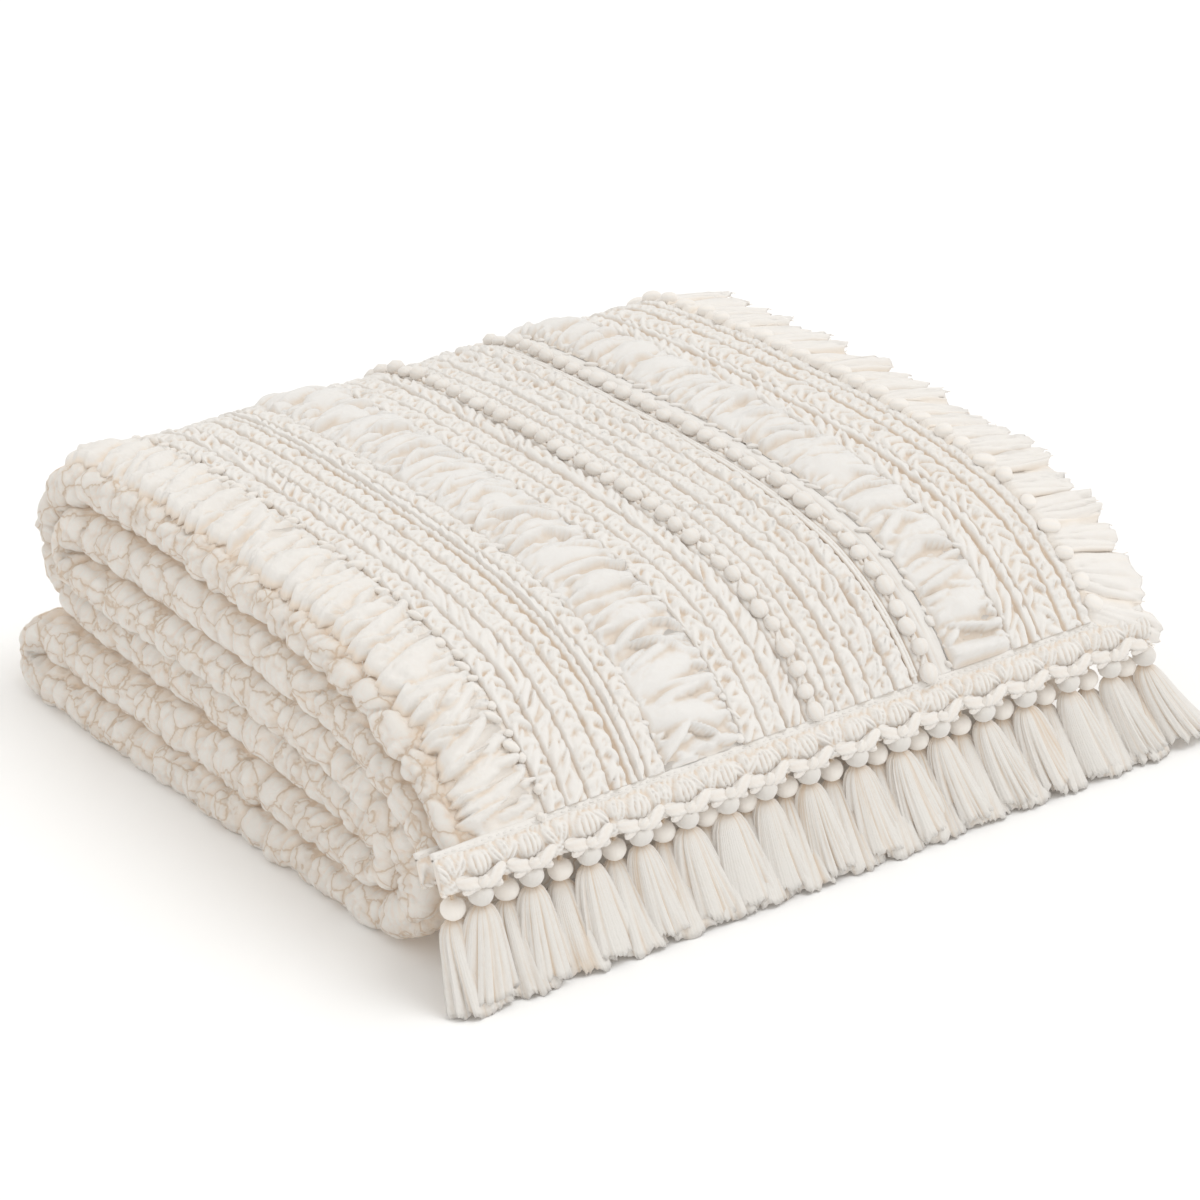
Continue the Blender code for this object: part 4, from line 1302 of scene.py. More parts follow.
def raw_edge_threads(points, seed):
    """Frayed threads that stand out from a ruffle's free edge, each a short bent line made round
    by the cord plan."""
    edge = points[::3, -1]
    outward = edge - points[::3, -4]
    outward /= np.linalg.norm(outward, axis=1)[:, None]
    rng = np.random.default_rng(seed)
    count = len(edge)
    reach = rng.uniform(0.0010, 0.0026, (count, 1))
    bend_to = rng.normal(0, 0.35, (count, 3))
    steps = np.array([0.0, 0.5, 1.0])[:, None, None]
    paths = edge - 0.0006 * outward + steps * reach * outward + steps ** 2 * reach * bend_to
    points = paths.transpose(1, 0, 2).reshape(-1, 3)
    edges = [(3 * i + k, 3 * i + k + 1) for i in range(count) for k in (0, 1)]
    return grown(cord_plan, rail_through(points, (0.0, 0.0, 1.0), edges), Plies=1, Pitch=0.013, Wide=0.0,
                 High=0.0, Yarn=THREAD_RADIUS, Uneven=0.2, Seed=float(seed), Finish=voile_finish)


# rows of folds, from the seam to the raw edge, columns as raise_row says
RUFFLE_FOLDS = (
    (0.60, 0.0165, 0.0560, 0.0230, 0.0092, 97, 0.0), (0.76, 0.0150, 0.0420, 0.0072, 0.0092, 84, 0.0),
    (0.34, 0.0115, 0.0270, 0.0078, 0.0064, 100, 0.0), (0.11, 0.0066, 0.0125, 0.0058, 0.0046, 78, 1.0),
)
FOLD_POWERS = (0.9, 0.6, 0.5, 0.5)      # of each row: 1 is a soft swell, less is plumper
NEAR_SEAM, FAR_SEAM = 0.1295, 0.9500    # shares of the width


def near_ruffle():
    """The ruffle that lies on the quilt: gathers at its seam, tapering folds, a raw edge."""
    seed, width = 3, 0.0500
    w = stations_along(top_start, ruffle_end, 0.0010)
    v = np.linspace(0, 1, 38)[None, :]
    out = v * width
    bent = w + 0.0035 * noise(w, out, 0.022, seed)
    lift = 0.0004 + 0.0030 * crumpled(bent, out, 0.0100, seed + 5) + 0 * v
    for n, (row, power) in enumerate(zip(RUFFLE_FOLDS, FOLD_POWERS)):
        raise_row(lift, w, out, row, width, seed + 10 + n, (-0.60, -0.25), power)
    lift = lift + 0.0024 * (crumpled(w, out, 0.0060, seed + 8) - 0.2)
    lift = lift * (0.30 + 0.70 * ease(v / 0.09))
    lift = lift * (0.3 + 0.7 * ease(np.minimum(w - top_start, ruffle_end - w) / 0.010))
    fold_end = blurred(lift, 1)[:, 29:31].mean(axis=1, keepdims=True)
    notch = np.clip((blurred(np.repeat(fold_end, 3, axis=1), 5)[:, :1] - fold_end) / 0.0018, 0, 1)
    outline = 0.95 + 0.12 * np.clip(fold_end / 0.0090, 0, 1) ** 0.7 - 0.09 * notch
    outline = outline + 0.05 * noise(w, 0 * w, 0.020, seed + 9)
    outline = outline + 0.035 * noise(w, 0 * w, 0.0026, seed + 10)
    out = out * outline
    lift = np.maximum(lift, 0.0002) * (1 - 0.82 * ease((v - 0.90) / 0.10))
    lift = lift - 0.0020 * ease((v - 0.94) / 0.06)
    run = w - 0.20 * out * ease((w - top_start) / 0.05) * ease((ruffle_end - w) / 0.05) - 0.002 * v
    run = np.clip(run, 0.0015, LENGTH)
    x = across(run, NEAR_SEAM) - out
    points = place(run, x, skin_height(run, x) + 0.0010 + lift)
    cloth = np.stack(np.broadcast_arrays(out, w), axis=-1)
    backs = [-1, -2, -4, -8, -14, 0]
    # The hollows of the relief are painted shade.
    piece = laid_sheet("near_ruffle", points, 0.0008, voile_finish, cloth, hollows(lift, 0.0016), backs)
    knots = lobe_row(0.1225, top_start, ruffle_end, puff_shape, 0.0098, 0.0078, 0.0058, 0.0056, 0.9,
                     stagger=0.0016, uneven=0.60, finish=voile_finish)
    extra = merge("near_ruffle_gathers", [knots, raw_edge_threads(points, 5)])
    stand_for(extra, "ruffle_near")
    declare_cloth(piece, "ruffle_near", points)


def far_ruffle():
    """The ruffle that stands out free beyond the quilt's far edge."""
    w, v, run, out, lift, hollow = ruffle_points(0.0540, 8, 0.035)
    splayed = bell(w - top_start, 0.034)
    run = run - 0.50 * out * splayed
    out = out * (1 - 0.12 * splayed)
    x = across(run, FAR_SEAM) + out
    beyond = np.clip(x - across(run, 1.0) + 0.012, 0, 1)
    above_seam = ease(v / 0.10)
    height = half_thickness(run) - 0.0006 + (0.0028 + 1.25 * lift) * above_seam
    height = height - 0.16 * beyond - 2.2 * beyond ** 2
    points = place(run, x, height)
    cloth = np.stack(np.broadcast_arrays(out, w), axis=-1)
    # Its finish paints light into it by emission, as if lit through.
    piece = thin_sheet("far_ruffle", points, 0.0009, sheer_glow_finish, cloth, hollow)
    balls = lobe_row(0.9630, top_start + 0.008, ruffle_end, bobble_shape, 0.0187, 0.0128, 0.0110, 0.0088, 0.9,
                     uneven=0.28, finish=sheer_glow_finish)
    extra = merge("far_ruffle_gathers", [balls, raw_edge_threads(points, 6)])
    stand_for(extra, "ruffle_far")
    declare_cloth(piece, "ruffle_far", points)


near_ruffle()
far_ruffle()


# %% The ruched bands
behind_fourth = next(r for r, (y, z) in zip(runs, line[:, :2]) if r > 0.40 and y > 0.38 and z < 0.082)
low_start = next(r for r, (y, z) in zip(runs, line[:, :2]) if r > 1.0 and y > 0.388)
low_end = next(r for r, (y, z) in zip(runs, line[:, :2]) if r > 1.0 and y > 0.40 and z < 0.0205)
STRETCHES = (("", top_start, behind_fourth), ("_low", low_start, low_end))

# rows of folds across a ruched band, columns as raise_row says
RUCHED_FOLDS = (
    (0.50, 0.0270, 0.0540, 0.0300, 0.0085, 88, 0.0), (0.38, 0.0210, 0.0440, 0.0074, 0.0092, 76, 0.0),
    (0.64, 0.0240, 0.0400, 0.0070, 0.0088, 104, 0.0), (0.22, 0.0110, 0.0230, 0.0060, 0.0058, 82, 0.0),
    (0.79, 0.0110, 0.0230, 0.0060, 0.0058, 98, 0.0), (0.09, 0.0062, 0.0120, 0.0046, 0.0036, 70, 0.0),
    (0.91, 0.0062, 0.0120, 0.0046, 0.0036, 110, 0.0),
)


def ruched_band(name, start, end, shares, seed):
    """A ruched band: broad puffs and a few folds between its two gathered seams."""
    step = 0.0012
    w = stations_along(start, end, step)
    v = np.linspace(0, 1, 38)[None, :]
    width = across(0.1, shares[1]) - across(0.1, shares[0])
    out = v * width
    side = np.minimum(v, 1 - v) * width
    bent = w + 0.0060 * noise(w, out, 0.026, seed + 1) + 0.0018 * noise(w, out, 0.008, seed + 2)
    belly = np.sin(math.pi * v) ** 0.55
    lift = 0.0006 + 0.0085 * crumpled(bent, out, 0.0165, seed + 6) * belly
    for n, row in enumerate(RUCHED_FOLDS):
        raise_row(lift, w, out, row, width, seed + 20 + n, (-0.3, 0.3), 0.5 if n else 1.0)
    lift = lift + 0.0026 * crumpled(bent, out, 0.0085, seed + 7) * belly
    lift = lift * np.minimum(1, side / 0.0020 + 0.2)
    lift = 0.0004 + lift * (0.3 + 0.7 * ease(np.minimum(w - start, end - w) / 0.006))
    x = across(w, shares[0]) + v * (across(w, shares[1]) - across(w, shares[0]))
    points = place(w + 0 * v, x, half_thickness(w) + 0.0008 + lift)
    cloth = np.stack(np.broadcast_arrays(out, w), axis=-1)
    # Painted shade in the hollows and along both seams, weaker where the places lie far apart.
    shaded = hollows(lift, 0.0016) * closeness(w, step) ** 2 + 0.30 * bell(side, 0.0016)
    return laid_sheet(name, points, 0.0010, ruched_finish, cloth, shaded, [-1, 0]), points


RUCHED = {"ruched_band_near": ((0.2970, 0.4110), 21), "ruched_band_far": ((0.7300, 0.8260), 33)}
for node, (shares, seed) in RUCHED.items():
    for suffix, start, end in STRETCHES:
        piece, points = ruched_band(f"{node}{suffix}_cloth", start, end, shares, seed + len(suffix))
        knots = [lobe_row(share, start + 0.006, end - 0.004, puff_shape, 0.0120, 0.0078, 0.0048, 0.0036, 0.7,
                          stagger=0.0012, uneven=0.60, finish=ruched_finish) for share in shares]
        extra = merge(f"{node}{suffix}_knots", knots)
        stand_for(extra, node + suffix)
        declare_cloth(piece, node + suffix, points)

# %% [markdown]
# ## The corded and bobbled trims
# Each trim is several narrow strips side by side, parted by slits: a wavy edge cord, gathers in
# fans, flames or pleats, and small knots and puffs that merge into them. Cloth worked this
# closely has no gaps, so one relief carries it all: a height for every place on the trim, built
# from a short table of strips. Only what stands clear of it, the bobbles, their collars and the
# straight cords, is set on top by the two trees.

# %% Strips of the trims
# columns: left share, right share, gathers, radius of the edge cord, knots
STRIPS = {
    "corded_trim_near": (
        (0.129, 0.158, "fan", 0.0013, None), (0.158, 0.189, "flame", 0.0013, None),
        (0.189, 0.221, "pleat", 0.0012, "rope"), (0.221, 0.246, "fan", 0.0, None),
        (0.246, 0.258, "pleat", 0.0014, "seed"), (0.258, 0.272, "flame", 0.0015, None),
        (0.272, 0.2985, "fan", 0.0013, "edge"),
    ),
    "bobble_trim_centre": (
        (0.4095, 0.443, "fan", 0.0014, "edge"), (0.443, 0.476, "pleat", 0.0014, "folded"),
        (0.476, 0.505, "flame", 0.0, None), (0.505, 0.530, "flat", 0.0, None),
        (0.530, 0.549, "pleat", 0.0, None), (0.549, 0.580, "pleat", 0.0013, "knot"),
        (0.580, 0.605, "fan", 0.0013, "knot"), (0.605, 0.640, "pleat", 0.0012, "chunky"),
        (0.640, 0.669, "pleat", 0.0, "pear"), (0.669, 0.679, "flat", 0.0, None),
        (0.679, 0.704, "flat", 0.0, None), (0.704, 0.7315, "thread", 0.0, None),
    ),
    "corded_trim_far": (
        (0.8245, 0.855, "flame", 0.0013, "edge"), (0.855, 0.870, "flame", 0.0014, None),
        (0.870, 0.911, "fan", 0.0013, "seed"), (0.911, 0.938, "pleat", 0.0013, "rope"),
        (0.938, 0.955, "pleat", 0.0013, "seed"),
    ),
}
# columns: place in the strip, pitch, length, width, height, angle from the strip in degrees, ribs
KNOTS = {
    "rope": (
        (0.42, 0.0088, 0.0120, 0.0062, 0.0034, 32, 1.0), (0.74, 0.0105, 0.0085, 0.0052, 0.0022, -30, 2.0),
    ),
    "seed": ((0.60, 0.0072, 0.0078, 0.0040, 0.0021, 35, 1.0),),
    "edge": ((0.80, 0.0098, 0.0092, 0.0052, 0.0026, -48, 2.0),),
    "folded": (
        (0.50, 0.0128, 0.0125, 0.0108, 0.0040, 38, 2.0), (0.78, 0.0128, 0.0072, 0.0062, 0.0030, -20, 1.0),
    ),
    "knot": (
        (0.34, 0.0118, 0.0092, 0.0062, 0.0040, 28, 1.0), (0.46, 0.0118, 0.0062, 0.0056, 0.0046, -35, 1.0),
    ),
    "chunky": (
        (0.62, 0.0128, 0.0185, 0.0092, 0.0056, 22, 2.0), (0.22, 0.0105, 0.0085, 0.0060, 0.0042, 30, 1.0),
    ),
    "pear": (
        (0.34, 0.0112, 0.0125, 0.0098, 0.0052, 50, 2.0), (0.72, 0.0125, 0.0105, 0.0070, 0.0032, -60, 2.0),
    ),
}
GATHERS = {
    "fan": (
        (0.28, 0.0084, 0.0205, 0.0056, 0.0038, 44, 0.0), (0.66, 0.0092, 0.0190, 0.0058, 0.0040, 132, 0.0),
        (0.50, 0.0150, 0.0110, 0.0070, 0.0044, 84, 1.0),
    ),
    "flame": (
        (0.30, 0.0088, 0.0250, 0.0060, 0.0040, 24, 0.0), (0.66, 0.0084, 0.0225, 0.0054, 0.0041, 36, 0.0),
    ),
    "pleat": (
        (0.30, 0.0056, 0.0130, 0.0048, 0.0033, 64, 0.0), (0.72, 0.0068, 0.0130, 0.0054, 0.0036, -40, 0.0),
    ),
    "flat": ((0.50, 0.0058, 0.0120, 0.0046, 0.0024, 70, 0.0),),
}


# %% The relief of a trim
def gathers(kind, w, m, width, seed):
    """Height of a strip's gathers at distance m from its left edge."""
    if kind == "thread":
        wander = 0.0004 * noise(w, m, 0.013, seed)
        return 0.0008 + 0.0010 * np.abs(np.sin(math.pi * (m + wander) / 0.0024)) ** 0.7 + 0 * w
    height = 0.0015 + 0.0017 * crumpled(w, m, 0.0075, seed)
    for n, row in enumerate(GATHERS[kind]):
        raise_row(height, w, m, row, width, seed + 20 + n)
    return height


def edge_cord(w, m, radius, seed):
    """The wavy cord along the left edge of a strip."""
    sway = 0.0006 * noise(w, 0 * w, 0.016, seed + 5) + 0.0004 * noise(w, 0 * w, 0.006, seed + 6)
    swollen = radius * (1 + 0.30 * noise(w, 0 * w, 0.010, seed + 7))
    off = (m - 0.0017 - sway) / swollen
    rounded = 1.35 * swollen * np.sqrt(np.clip(1 - off ** 2, 0, 1))
    return 0.0010 + rounded - 0.01 * np.maximum(abs(off) - 1, 0)


def trim_height(node, w, share):
    """The relief of a whole trim: strips with slits between them."""
    total = np.zeros((w.shape[0], share.shape[1]))
    slits = np.zeros_like(total)
    for k, (left, right, kind, cord, knots) in enumerate(STRIPS[node]):
        chosen = ((share >= left) & (share <= right))[0]
        width = across(0.1, right) - across(0.1, left)
        m = (share[:, chosen] - left) / (right - left) * width
        seed = 40 + 9 * k + len(node)
        rise = gathers(kind, w, m, width, seed) * np.minimum(1, (width - m) / 0.0016 + 0.25)
        for n, row in enumerate(KNOTS.get(knots, ())):
            raise_row(rise, w, m, row, width, seed + 50 + n)
        if cord:
            rise = np.maximum(rise, edge_cord(w, m, cord, seed))
        slit = bell(np.minimum(m, width - m), 0.0006)
        total[:, chosen] = rise * (1 - slit) - 0.0011 * slit
        slits[:, chosen] = slit
    return total, slits


def trim_relief(name, node, start, end, step):
    """A closed strip of worked cloth, its upper side a relief."""
    left, right = STRIPS[node][0][0], STRIPS[node][-1][1]
    w = stations_along(start, end, step)
    width = across(0.1, right) - across(0.1, left)
    share = np.linspace(left, right, int(width / step))[None, :]
    height, slits = trim_height(node, w, share)
    points = place(w + 0 * share, across(w, share), half_thickness(w) + 0.0009 + height)
    under = place(w + 0 * share[:, [-1, 0]], across(w, share[:, [-1, 0]]), half_thickness(w) - 0.0006)
    ring = np.concatenate([points, under], axis=1)
    # Painted shade in the hollows and slits, and on the hidden underside.
    hollow = 1.25 * hollows(height, 0.0018) * closeness(w, step) ** 2 + 1.2 * slits
    hollow = np.concatenate([hollow, np.full((len(w), 2), 0.3)], axis=1)
    cloth = np.stack(np.broadcast_arrays(np.r_[share[0], right, left][None, :] * width, w), axis=-1)
    return new_tube(name, ring, cord_finish, cloth, hollow), points


# %% The trims
TRIM_STEP = 0.00105
CLEAR_ROWS = {
    "corded_trim_near": (cord_row_at(0.2655, yarn=0.0012),),
    "bobble_trim_centre": (
        collars(0.5170), bobbles(0.5170), cord_row_at(0.6710, yarn=0.0014), cord_row_at(0.6757, yarn=0.0014),
        collars(0.6915), bobbles(0.6915),
    ),
    "corded_trim_far": (cord_row_at(0.8625, yarn=0.0012),),
}

for node, rows in CLEAR_ROWS.items():
    for suffix, start, end in STRETCHES:
        worked = merge(f"{node}{suffix}_rows", [row(start + 0.004, end - 0.002) for row in rows])
        stand_for(worked, node + suffix)
        relief, points = trim_relief(f"{node}{suffix}_relief", node, start, end, TRIM_STEP)
        declare_cloth(relief, node + suffix, points)
        worked.data.calc_loop_triangles()
        relief.data.calc_loop_triangles()
        print(relief.name, len(relief.data.loop_triangles), "+", len(worked.data.loop_triangles), "triangles")

# %% [markdown]
# ## The two hems
# Each end of the runner has a narrow binding with a row of running stitches, and a crocheted
# edging hangs from it: ribbed domes and fans on a gathered ground, and below them pairs of twisted
# wings that meet where each tassel hangs. The domes and wings follow the tassels' places, which
# are uneven, so each one is placed from its own tassel.

# %% Hem places
TASSELS = 16
FIRST_TASSEL_X = -0.230
TASSEL_PITCH = 0.0322
TASSEL_SHIFT_MM = (1, 2, 8, 11, 11, 7, 2, 1, 4, 3, 1, 3, 3, 5, 6, 2)
FRONT_LEAN_MM = (-3, 4, 8, 11, 13, 11, 10, 11, 13, 16, 19, 21, 20, 20, 24, 30)
front_x = FIRST_TASSEL_X + TASSEL_PITCH * np.arange(TASSELS) + 0.001 * np.array(TASSEL_SHIFT_MM)
behind_x = np.r_[-0.2427, 0.5 * (front_x[1:] + front_x[:-1]) + 0.0046]
print("tassels from", front_x[0].round(3), "to", front_x[-1].round(3))
HEM_ENDS = (-0.2530, 0.2600)
HALF_HEM = 0.25

# where each hem is on the strip, which way the cloth and its face lie from it, and its edging
HEMS = {
    "upper": {
        "run": 0.0, "inward": 1.0, "face": 1.0,
        "slope": math.radians(66), "depth": 0.0188, "step": 0.0008, "tassels": front_x,
    },
    "lower": {
        "run": LENGTH, "inward": -1.0, "face": -1.0,
        "slope": math.radians(70), "depth": 0.0140, "step": 0.0014, "tassels": behind_x,
    },
}


def cord_through(points, rising, plies, pitch, turn, yarn, uneven, finish):
    """A plied cord through points that are already in place."""
    return grown(cord_plan, rail_through(points, rising), Plies=plies, Pitch=pitch, Wide=turn, High=turn,
                 Yarn=yarn, Uneven=uneven, Seed=3.0, Finish=finish)


def mesh_of(piece):
    """The mesh of an object, which is removed."""
    mesh = piece.data
    bpy.data.objects.remove(piece)
    return mesh


def hem_frame(hem):
    """The hem's top line, and the downward and outward directions of its edging, as Y and Z."""
    at = 0 if hem["run"] == 0 else -1
    outward = -hem["inward"] * tangent[at]
    face = hem["face"] * upward[at]
    down = np.array([-math.cos(hem["slope"]), -math.sin(hem["slope"])])
    out = np.array([-math.sin(hem["slope"]), math.cos(hem["slope"])])
    return line[at, :2] + outward * 0.0008 + face * (half_thickness(hem["run"]) + 0.0008), down, out


def on_edging(hem, x, drop, lift):
    """Points on a hem's edging: drop below its top line, and lift off its surface."""
    top, down, out = hem_frame(hem)
    x, drop, lift = np.broadcast_arrays(x, drop, lift)
    y = top[0] + down[0] * drop + out[0] * lift
    z = top[1] + down[1] * drop + out[1] * lift
    return np.stack([x + SHIFT[0], y + SHIFT[1], z], axis=-1)


def set_copies(shape, hem, rows, finish):
    """Copies of a shape on a hem's edging. Rows hold x, drop, lift, long, wide, high and angle."""
    _, down, out = hem_frame(hem)
    count = len(shape.data.vertices)
    base = np.empty(3 * count)
    shape.data.vertices.foreach_get("co", base)
    base = base.reshape(-1, 3)
    polygons = [tuple(p.vertices) for p in shape.data.polygons]
    hollow = np.empty(count)
    shape.data.attributes["hollow"].data.foreach_get("value", hollow)
    points, faces, shaded = [], [], []
    for k, (x, drop, lift, long, wide, high, angle) in enumerate(rows):
        c, s = math.cos(math.radians(angle)), math.sin(math.radians(angle))
        scaled = base * np.array([long, wide, high])
        right_part = scaled[:, 0] * c - scaled[:, 1] * s
        up_part = scaled[:, 0] * s + scaled[:, 1] * c
        origin = on_edging(hem, x, drop, lift)
        placed = np.stack([
            origin[0] + right_part,
            origin[1] - down[0] * up_part + out[0] * scaled[:, 2],
            origin[2] - down[1] * up_part + out[1] * scaled[:, 2],
        ], axis=-1)
        points.append(placed)
        faces += [[k * count + v for v in polygon] for polygon in polygons]
        shaded.append(hollow)
    return mesh_of(new_piece("copies", np.concatenate(points), faces, finish, hollow=np.concatenate(shaded)))


wing_shape = lobe("wing_shape", 11, 15, blunt=1.8, ribs=4, depth=0.42, twist=0.9, seat=0.0)


# %% Bindings
BINDING_WIDTH = 0.0048
BINDING_THICKNESS = 0.0021
# round the binding from its outer edge over the top, as shares of its width and thickness
BINDING_SECTION = np.array([
    (0.0, 0.0), (0.0, 0.8), (0.12, 1.0), (0.5, 1.08), (0.88, 1.0), (1.0, 0.75), (1.0, 0.0)])


def binding_strip(hem, x):
    """The folded strip over the hem, a soft flat tube that wavers a little."""
    rings = []
    for across_strip, rise in BINDING_SECTION:
        waver = 0.0004 * noise(x, 0 * x + across_strip, 0.012, 71)
        run = hem["run"] + hem["inward"] * (0.0002 + across_strip * BINDING_WIDTH + waver)
        height = half_thickness(run) + 0.0004 + rise * BINDING_THICKNESS
        height = height + 0.0003 * noise(x, 0 * x, 0.006, 72) * rise
        rings.append(place(run, x, hem["face"] * height))
    points = np.stack(rings, axis=1)
    cloth = np.stack(np.broadcast_arrays(BINDING_SECTION[None, :, 0] * 0.006, x[:, None]), axis=-1)
    # Painted shade on the strip's lower sides.
    hollow = np.broadcast_to((BINDING_SECTION[:, 1] < 0.5) * 0.4, points.shape[:2])
    return mesh_of(new_tube("strip", points, crochet_finish, cloth, hollow))


def binding(name, hem):
    """The binding of a hem and its row of running stitches."""
    x = np.linspace(*HEM_ENDS, 240)
    strip = binding_strip(hem, x)
    run = hem["run"] + hem["inward"] * 0.55 * BINDING_WIDTH
    normal = hem["face"] * np.array([0.0, along(run, upward[:, 0]), along(run, upward[:, 1])])
    stitched = np.linspace(x[0] + 0.004, x[-1] - 0.004, 200)
    lifted = place(0 * stitched + run, stitched, hem["face"] * (half_thickness(run) + 0.0024))
    stitches = grown(row_plan, rail_through(lifted, normal), Shape=pleat_shape, Spacing=0.0048, Long=0.0031,
                     Wide=0.0010, High=0.0007, Tilt=0.0, Stagger=0.0, Uneven=0.08, Seed=4, Finish=cord_finish)
    return merge(name, [strip, stitches])


# %% Edgings
# columns: aside from the middle of the gap, share of the drop, length, width, height and angle
FANS = (
    (-0.0056, 0.34, 0.0150, 0.0088, 0.0042, 58), (0.0054, 0.36, 0.0145, 0.0088, 0.0044, 122),
    (0.0, 0.20, 0.0115, 0.0080, 0.0046, 90), (0.0, 0.74, 0.0160, 0.0082, 0.0046, -12),
)
# columns: aside from the tassel, share of the drop, lift, length, width, height and angle
WINGS = (
    (-0.0080, 0.83, 0.0016, 0.0178, 0.0102, 0.0062, -24), (0.0080, 0.81, 0.0028, 0.0178, 0.0100, 0.0064, 26),
    (-0.0074, 0.97, 0.0020, 0.0124, 0.0070, 0.0050, 22), (0.0076, 0.99, 0.0012, 0.0124, 0.0068, 0.0048, -24),
)
WING_MARGIN = 0.007       # no wing stands closer to the end of a hem than this


def shell_relief(hem, rng):
    """The edging's cloth: a ribbed dome above each tassel, and ribbed fans between the domes."""
    depth, step = hem["depth"], hem["step"]
    x = np.arange(*HEM_ENDS, step)[:, None]
    m = np.arange(-0.0024, depth, 1.12 * step)[None, :]
    height = 0.0003 + 0.0012 * round_folds(x + 0.3 * m + 0.002 * noise(x, m, 0.012, 81), 82, 0.0028, 0.0052)
    height = height + 0.0008 * billows(x, m, 0.0055, 84)
    tassels = np.sort(hem["tassels"])
    for at in np.r_[tassels[0] - 0.5 * TASSEL_PITCH, 0.5 * (tassels[1:] + tassels[:-1]) + 0.001]:
        for aside, low, long, wide, tall, angle in FANS:
            raise_lobe(height, x, m, at + aside + rng.normal(0, 0.001), low * depth, long, wide, tall,
                       angle + rng.normal(0, 12), 3, rng.normal(0, 0.2))
    for at in tassels:
        wide = 0.0185 * rng.uniform(0.9, 1.1)
        raise_lobe(height, x, m, at + 0.002, 0.40 * depth, 0.86 * depth, wide, 0.0056,
                   90 + rng.normal(0, 8), 5, rng.normal(0, 0.1), rng.uniform(-0.15, 0.15))
    lower_edge = 1 + 0.05 * noise(x, 0 * x, 0.009, 83)
    points = on_edging(hem, x, m * lower_edge, height)
    under = on_edging(hem, x, (m * lower_edge)[:, [-1, 0]], -0.0012)
    ring = np.concatenate([points, under], axis=1)
    # Painted shade in the hollows, and on the hidden underside.
    shaded = np.concatenate([hollows(height, 0.0014), np.full((len(x), 2), 0.4)], axis=1)
    cloth = np.stack(np.broadcast_arrays(np.r_[m[0], m[0, -1], m[0, 0]][None, :], x), axis=-1)
    return mesh_of(new_tube("relief", ring, crochet_finish, cloth, shaded))


def edging(name, hem):
    """The shells, the wings below them, and the cord that edges them."""
    rng = np.random.default_rng(91)
    depth = hem["depth"]
    wings = []
    for x in np.sort(hem["tassels"]):
        turns = rng.normal(0, 6, 4)
        for (aside, low, lift, *sizes, angle), turn_by in zip(WINGS, turns):
            wings.append((x + aside, low * depth, lift, *sizes, angle + turn_by))
        wings.append((x + 0.0004, 0.88 * depth, 0.0034, 0.0080, 0.0084, 0.0060, rng.normal(0, 20)))
    wings = [wing for wing in wings if HEM_ENDS[0] + WING_MARGIN < wing[0] < HEM_ENDS[1] - WING_MARGIN]
    rows = [shell_relief(hem, rng), set_copies(wing_shape, hem, wings, crochet_finish)]
    x = np.linspace(*HEM_ENDS, 320)
    out = np.r_[0.0, hem_frame(hem)[2]]
    path = on_edging(hem, x, 0.90 * depth + 0.0006 * noise(x, 0 * x, 0.010, 84), 0.0006)
    rows.append(cord_through(path, out, 2, 0.009, 0.0007, 0.0011, 0.4, crochet_finish))
    return merge(name, rows)


for place_name, hem in HEMS.items():
    bound = binding(f"hem_binding_{place_name}_strip", hem)
    stand_for(bound, f"hem_binding_{place_name}")
    crocheted = edging(f"crochet_edging_{place_name}_shells", hem)
    stand_for(crocheted, f"crochet_edging_{place_name}")
    print(place_name, "hem:", len(bound.data.polygons), "and", len(crocheted.data.polygons), "faces")

# %% [markdown]
# ## Tassels
# A tassel is a bundle of fine yarn, bound below a round head, so its skirt springs out below the
# binding, falls in a few broad folds and opens like a bell. Hundreds of single yarns would be slow
# and look wiry, so the folds are one closed bundle with a toothed cut edge, whose finest strands
# are bump. Each tassel opens a little differently, and leans more towards the far end.

# %% Tassel parts
HEAD_RADIUS = 0.0072
HEAD_ROWS, HEAD_AROUND = 9, 20
NECK_DROP = 0.72          # from the head's middle to the binding, as a share of its radius
TOP_OPEN, SPRING_OPEN = 0.17, 0.30    # how open the skirt is at the binding, and just below it
SKIRT_DEEP = 0.0240
SKIRT_ROWS = 14
UNDERCUT = (-0.05, -0.22)             # how far the last two rows turn in under the cut edge
CUT_EDGE = 8              # the cut edge's teeth and waves fade out upwards by this power
HANGER = ((0.0, 0.0, 0.0), (0.0006, 0.0012, 0.0036), (0.0002, 0.0040, 0.0066), (-0.001, 0.0075, 0.0072))


def tassel_head(centre, rng):
    """The bound head: a slightly flat ball with faint gathers."""
    angle = 2 * math.pi * np.arange(HEAD_AROUND)[None, :] / HEAD_AROUND
    lift = np.linspace(-0.94, 0.94, HEAD_ROWS)[:, None] * 0.5 * math.pi
    wobble = 1 + 0.030 * np.cos(3 * angle + rng.uniform(0, 6)) + 0.018 * np.sin(7 * angle + 3 * lift)
    radius = HEAD_RADIUS * wobble * np.cos(lift) ** 0.8
    x = radius * np.cos(angle)
    y = radius * np.sin(angle)
    z = 0.86 * HEAD_RADIUS * np.sin(lift) + 0 * angle
    # Painted shade at the bottom and the top of the head.
    hollow = np.broadcast_to(0.5 * bell(lift + 1.45, 0.4) + 0.5 * bell(lift - 1.45, 0.25), x.shape)
    return centre + np.stack([x, y, z], axis=-1), hollow


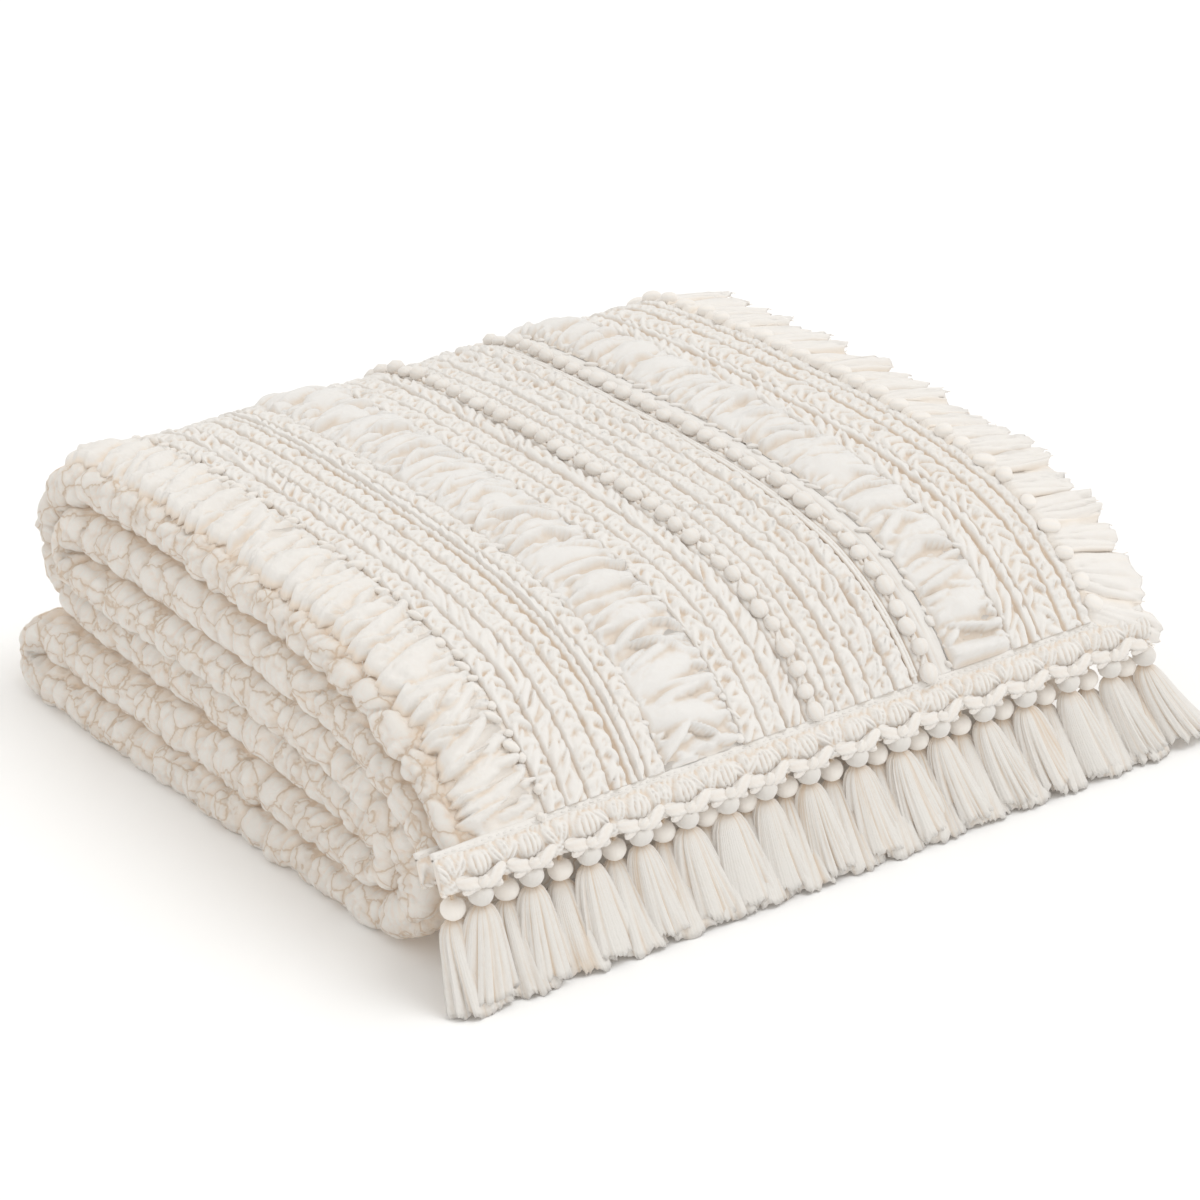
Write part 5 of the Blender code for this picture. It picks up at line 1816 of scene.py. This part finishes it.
def tassel_skirt(neck, foot, wide, deep, around, rng):
    """The bundle of yarn under the head: folds that deepen towards the ragged cut edge."""
    angle = 2 * math.pi * np.arange(around)[None, :] / around
    t = np.r_[np.linspace(0, 1, SKIRT_ROWS), 1.0, 0.93][:, None]
    phase = rng.uniform(0, 2 * math.pi, 8)
    open_out = TOP_OPEN + SPRING_OPEN * (1 - np.exp(-t / 0.07)) + 0.53 * t ** 0.95
    bent = angle + 0.34 * np.sin(2 * angle + phase[0]) + 0.20 * np.sin(3 * angle + phase[1])
    broad = np.abs(np.sin(3.5 * bent + phase[2] + 0.4 * np.sin(2 * t + phase[3]))) ** 0.55 - 0.72
    narrow = np.abs(np.sin(8.5 * bent + phase[4] + 0.7 * t)) ** 0.6 - 0.70
    strand = np.abs(np.sin(17.5 * angle + phase[5] + 1.1 * np.sin(3 * angle))) - 0.64
    folds = (0.08 + 0.20 * t) * broad + (0.05 + 0.09 * t) * narrow + (0.020 + 0.030 * t) * strand
    folds = folds + np.r_[np.zeros(SKIRT_ROWS), UNDERCUT][:, None]
    x = 0.5 * wide * open_out * (1 + folds) * np.cos(angle)
    y = 0.5 * deep * open_out * (1 + folds) * np.sin(angle)
    centre = neck + (foot - neck) * np.concatenate([t ** 1.25, t, t], axis=1)[:, None, :]
    points = centre + np.stack([x, y, 0 * x], axis=-1)
    teeth = rng.uniform(-0.0022, 0.0022, (1, around)) * (0.3 + 0.7 * (np.arange(around) % 2))
    points[..., 2] += t ** CUT_EDGE * (0.0013 * np.sin(7 * bent + phase[6]) + teeth)
    points[..., 2] = np.maximum(points[..., 2], 0.0005)
    # Painted shade between the folds and just under the binding.
    between = -1.2 * broad * (0.3 + 0.4 * t) - 0.9 * narrow - 0.5 * strand
    hollow = np.clip(between, 0, 0.85) + 0.7 * bell(t, 0.06)
    return points, np.broadcast_to(hollow, x.shape)


def keep_above_floor(mesh):
    """Lifts any vertex that would sink into the surface below."""
    points = np.empty(3 * len(mesh.vertices))
    mesh.vertices.foreach_get("co", points)
    points[2::3] = np.maximum(points[2::3], FLOOR_GAP)
    mesh.vertices.foreach_set("co", points)


def tassel(name, head, foot, wide, seed, head_finish):
    """One tassel, made at its place in the stack: head, skirt and the loop that it hangs by."""
    rng = np.random.default_rng(seed)
    head = np.array(head) + SHIFT
    foot = np.array(foot) + SHIFT
    ball, ball_hollow = tassel_head(head, rng)
    neck = head - np.array([0, 0, HEAD_RADIUS * NECK_DROP])
    around = 108 if foot[2] > 0.004 else 72
    skirt, skirt_hollow = tassel_skirt(neck, foot, wide * rng.uniform(0.90, 1.10), SKIRT_DEEP, around, rng)
    meshes = []
    for points, hollow, finish in ((ball, ball_hollow, head_finish), (skirt, skirt_hollow, tassel_finish)):
        strand = np.linspace(0, 0.09, points.shape[1])[None, :]
        cloth = np.stack(np.broadcast_arrays(strand, points[..., 2]), axis=-1)
        meshes.append(mesh_of(new_tube("part", points, finish, cloth, hollow)))
    loop = head + np.array([0.0, 0.0, 0.6 * HEAD_RADIUS]) + np.array(HANGER)
    meshes.append(cord_through(loop, (1.0, 0.0, 0.0), 2, 0.012, 0.0009, 0.0012, 0.1, tassel_finish))
    for mesh in meshes:
        keep_above_floor(mesh)
    return merge(name, meshes)


# %% The tassels
FRONT_WIDE, BACK_WIDE = 0.0375, 0.0370


def sag(x, most):
    """How much higher the middle of a hem hangs than its ends."""
    return most * (1 - (x / HALF_HEM) ** 2)


def front_row():
    """Head and foot of each tassel on the upper hem."""
    for x, lean in zip(front_x, FRONT_LEAN_MM):
        yield (x, -0.0575, 0.0632 + sag(x, 0.0022)), (x + 0.001 * lean, -0.0650, 0.0068)


def back_row():
    """Head and foot of each tassel on the lower hem, whose skirts lie on the surface."""
    for x in behind_x:
        yield (x, -0.0508, 0.0560 + sag(x, 0.0015)), (x + 0.006, -0.0665, 0.0022)


# The back row's heads take the extra emission: painted light on heads that lie in shade.
TASSEL_ROWS = (
    ("front", front_row(), FRONT_WIDE, 100, tassel_finish),
    ("back", back_row(), BACK_WIDE, 150, back_head_glow_finish),
)
for row, places, wide, first_seed, head_finish in TASSEL_ROWS:
    for i, (head, foot) in enumerate(places):
        node = f"tassel_{row}_{i + 1:02d}"
        made = tassel(f"{node}_yarn", head, foot, wide, first_seed + i, head_finish)
        stand_for(made, node)
    print(row, "tassels of", len(made.data.polygons), "faces")

# %% Clearing up and finishing
for shape in (pleat_shape, bobble_shape, puff_shape, wing_shape):
    bpy.data.objects.remove(shape)

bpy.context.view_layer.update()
total = 0
for piece in bpy.data.objects:
    if piece.type == "MESH" and not piece.hide_render:
        piece.data.calc_loop_triangles()
        total += len(piece.data.loop_triangles)
print("triangles in all:", total)
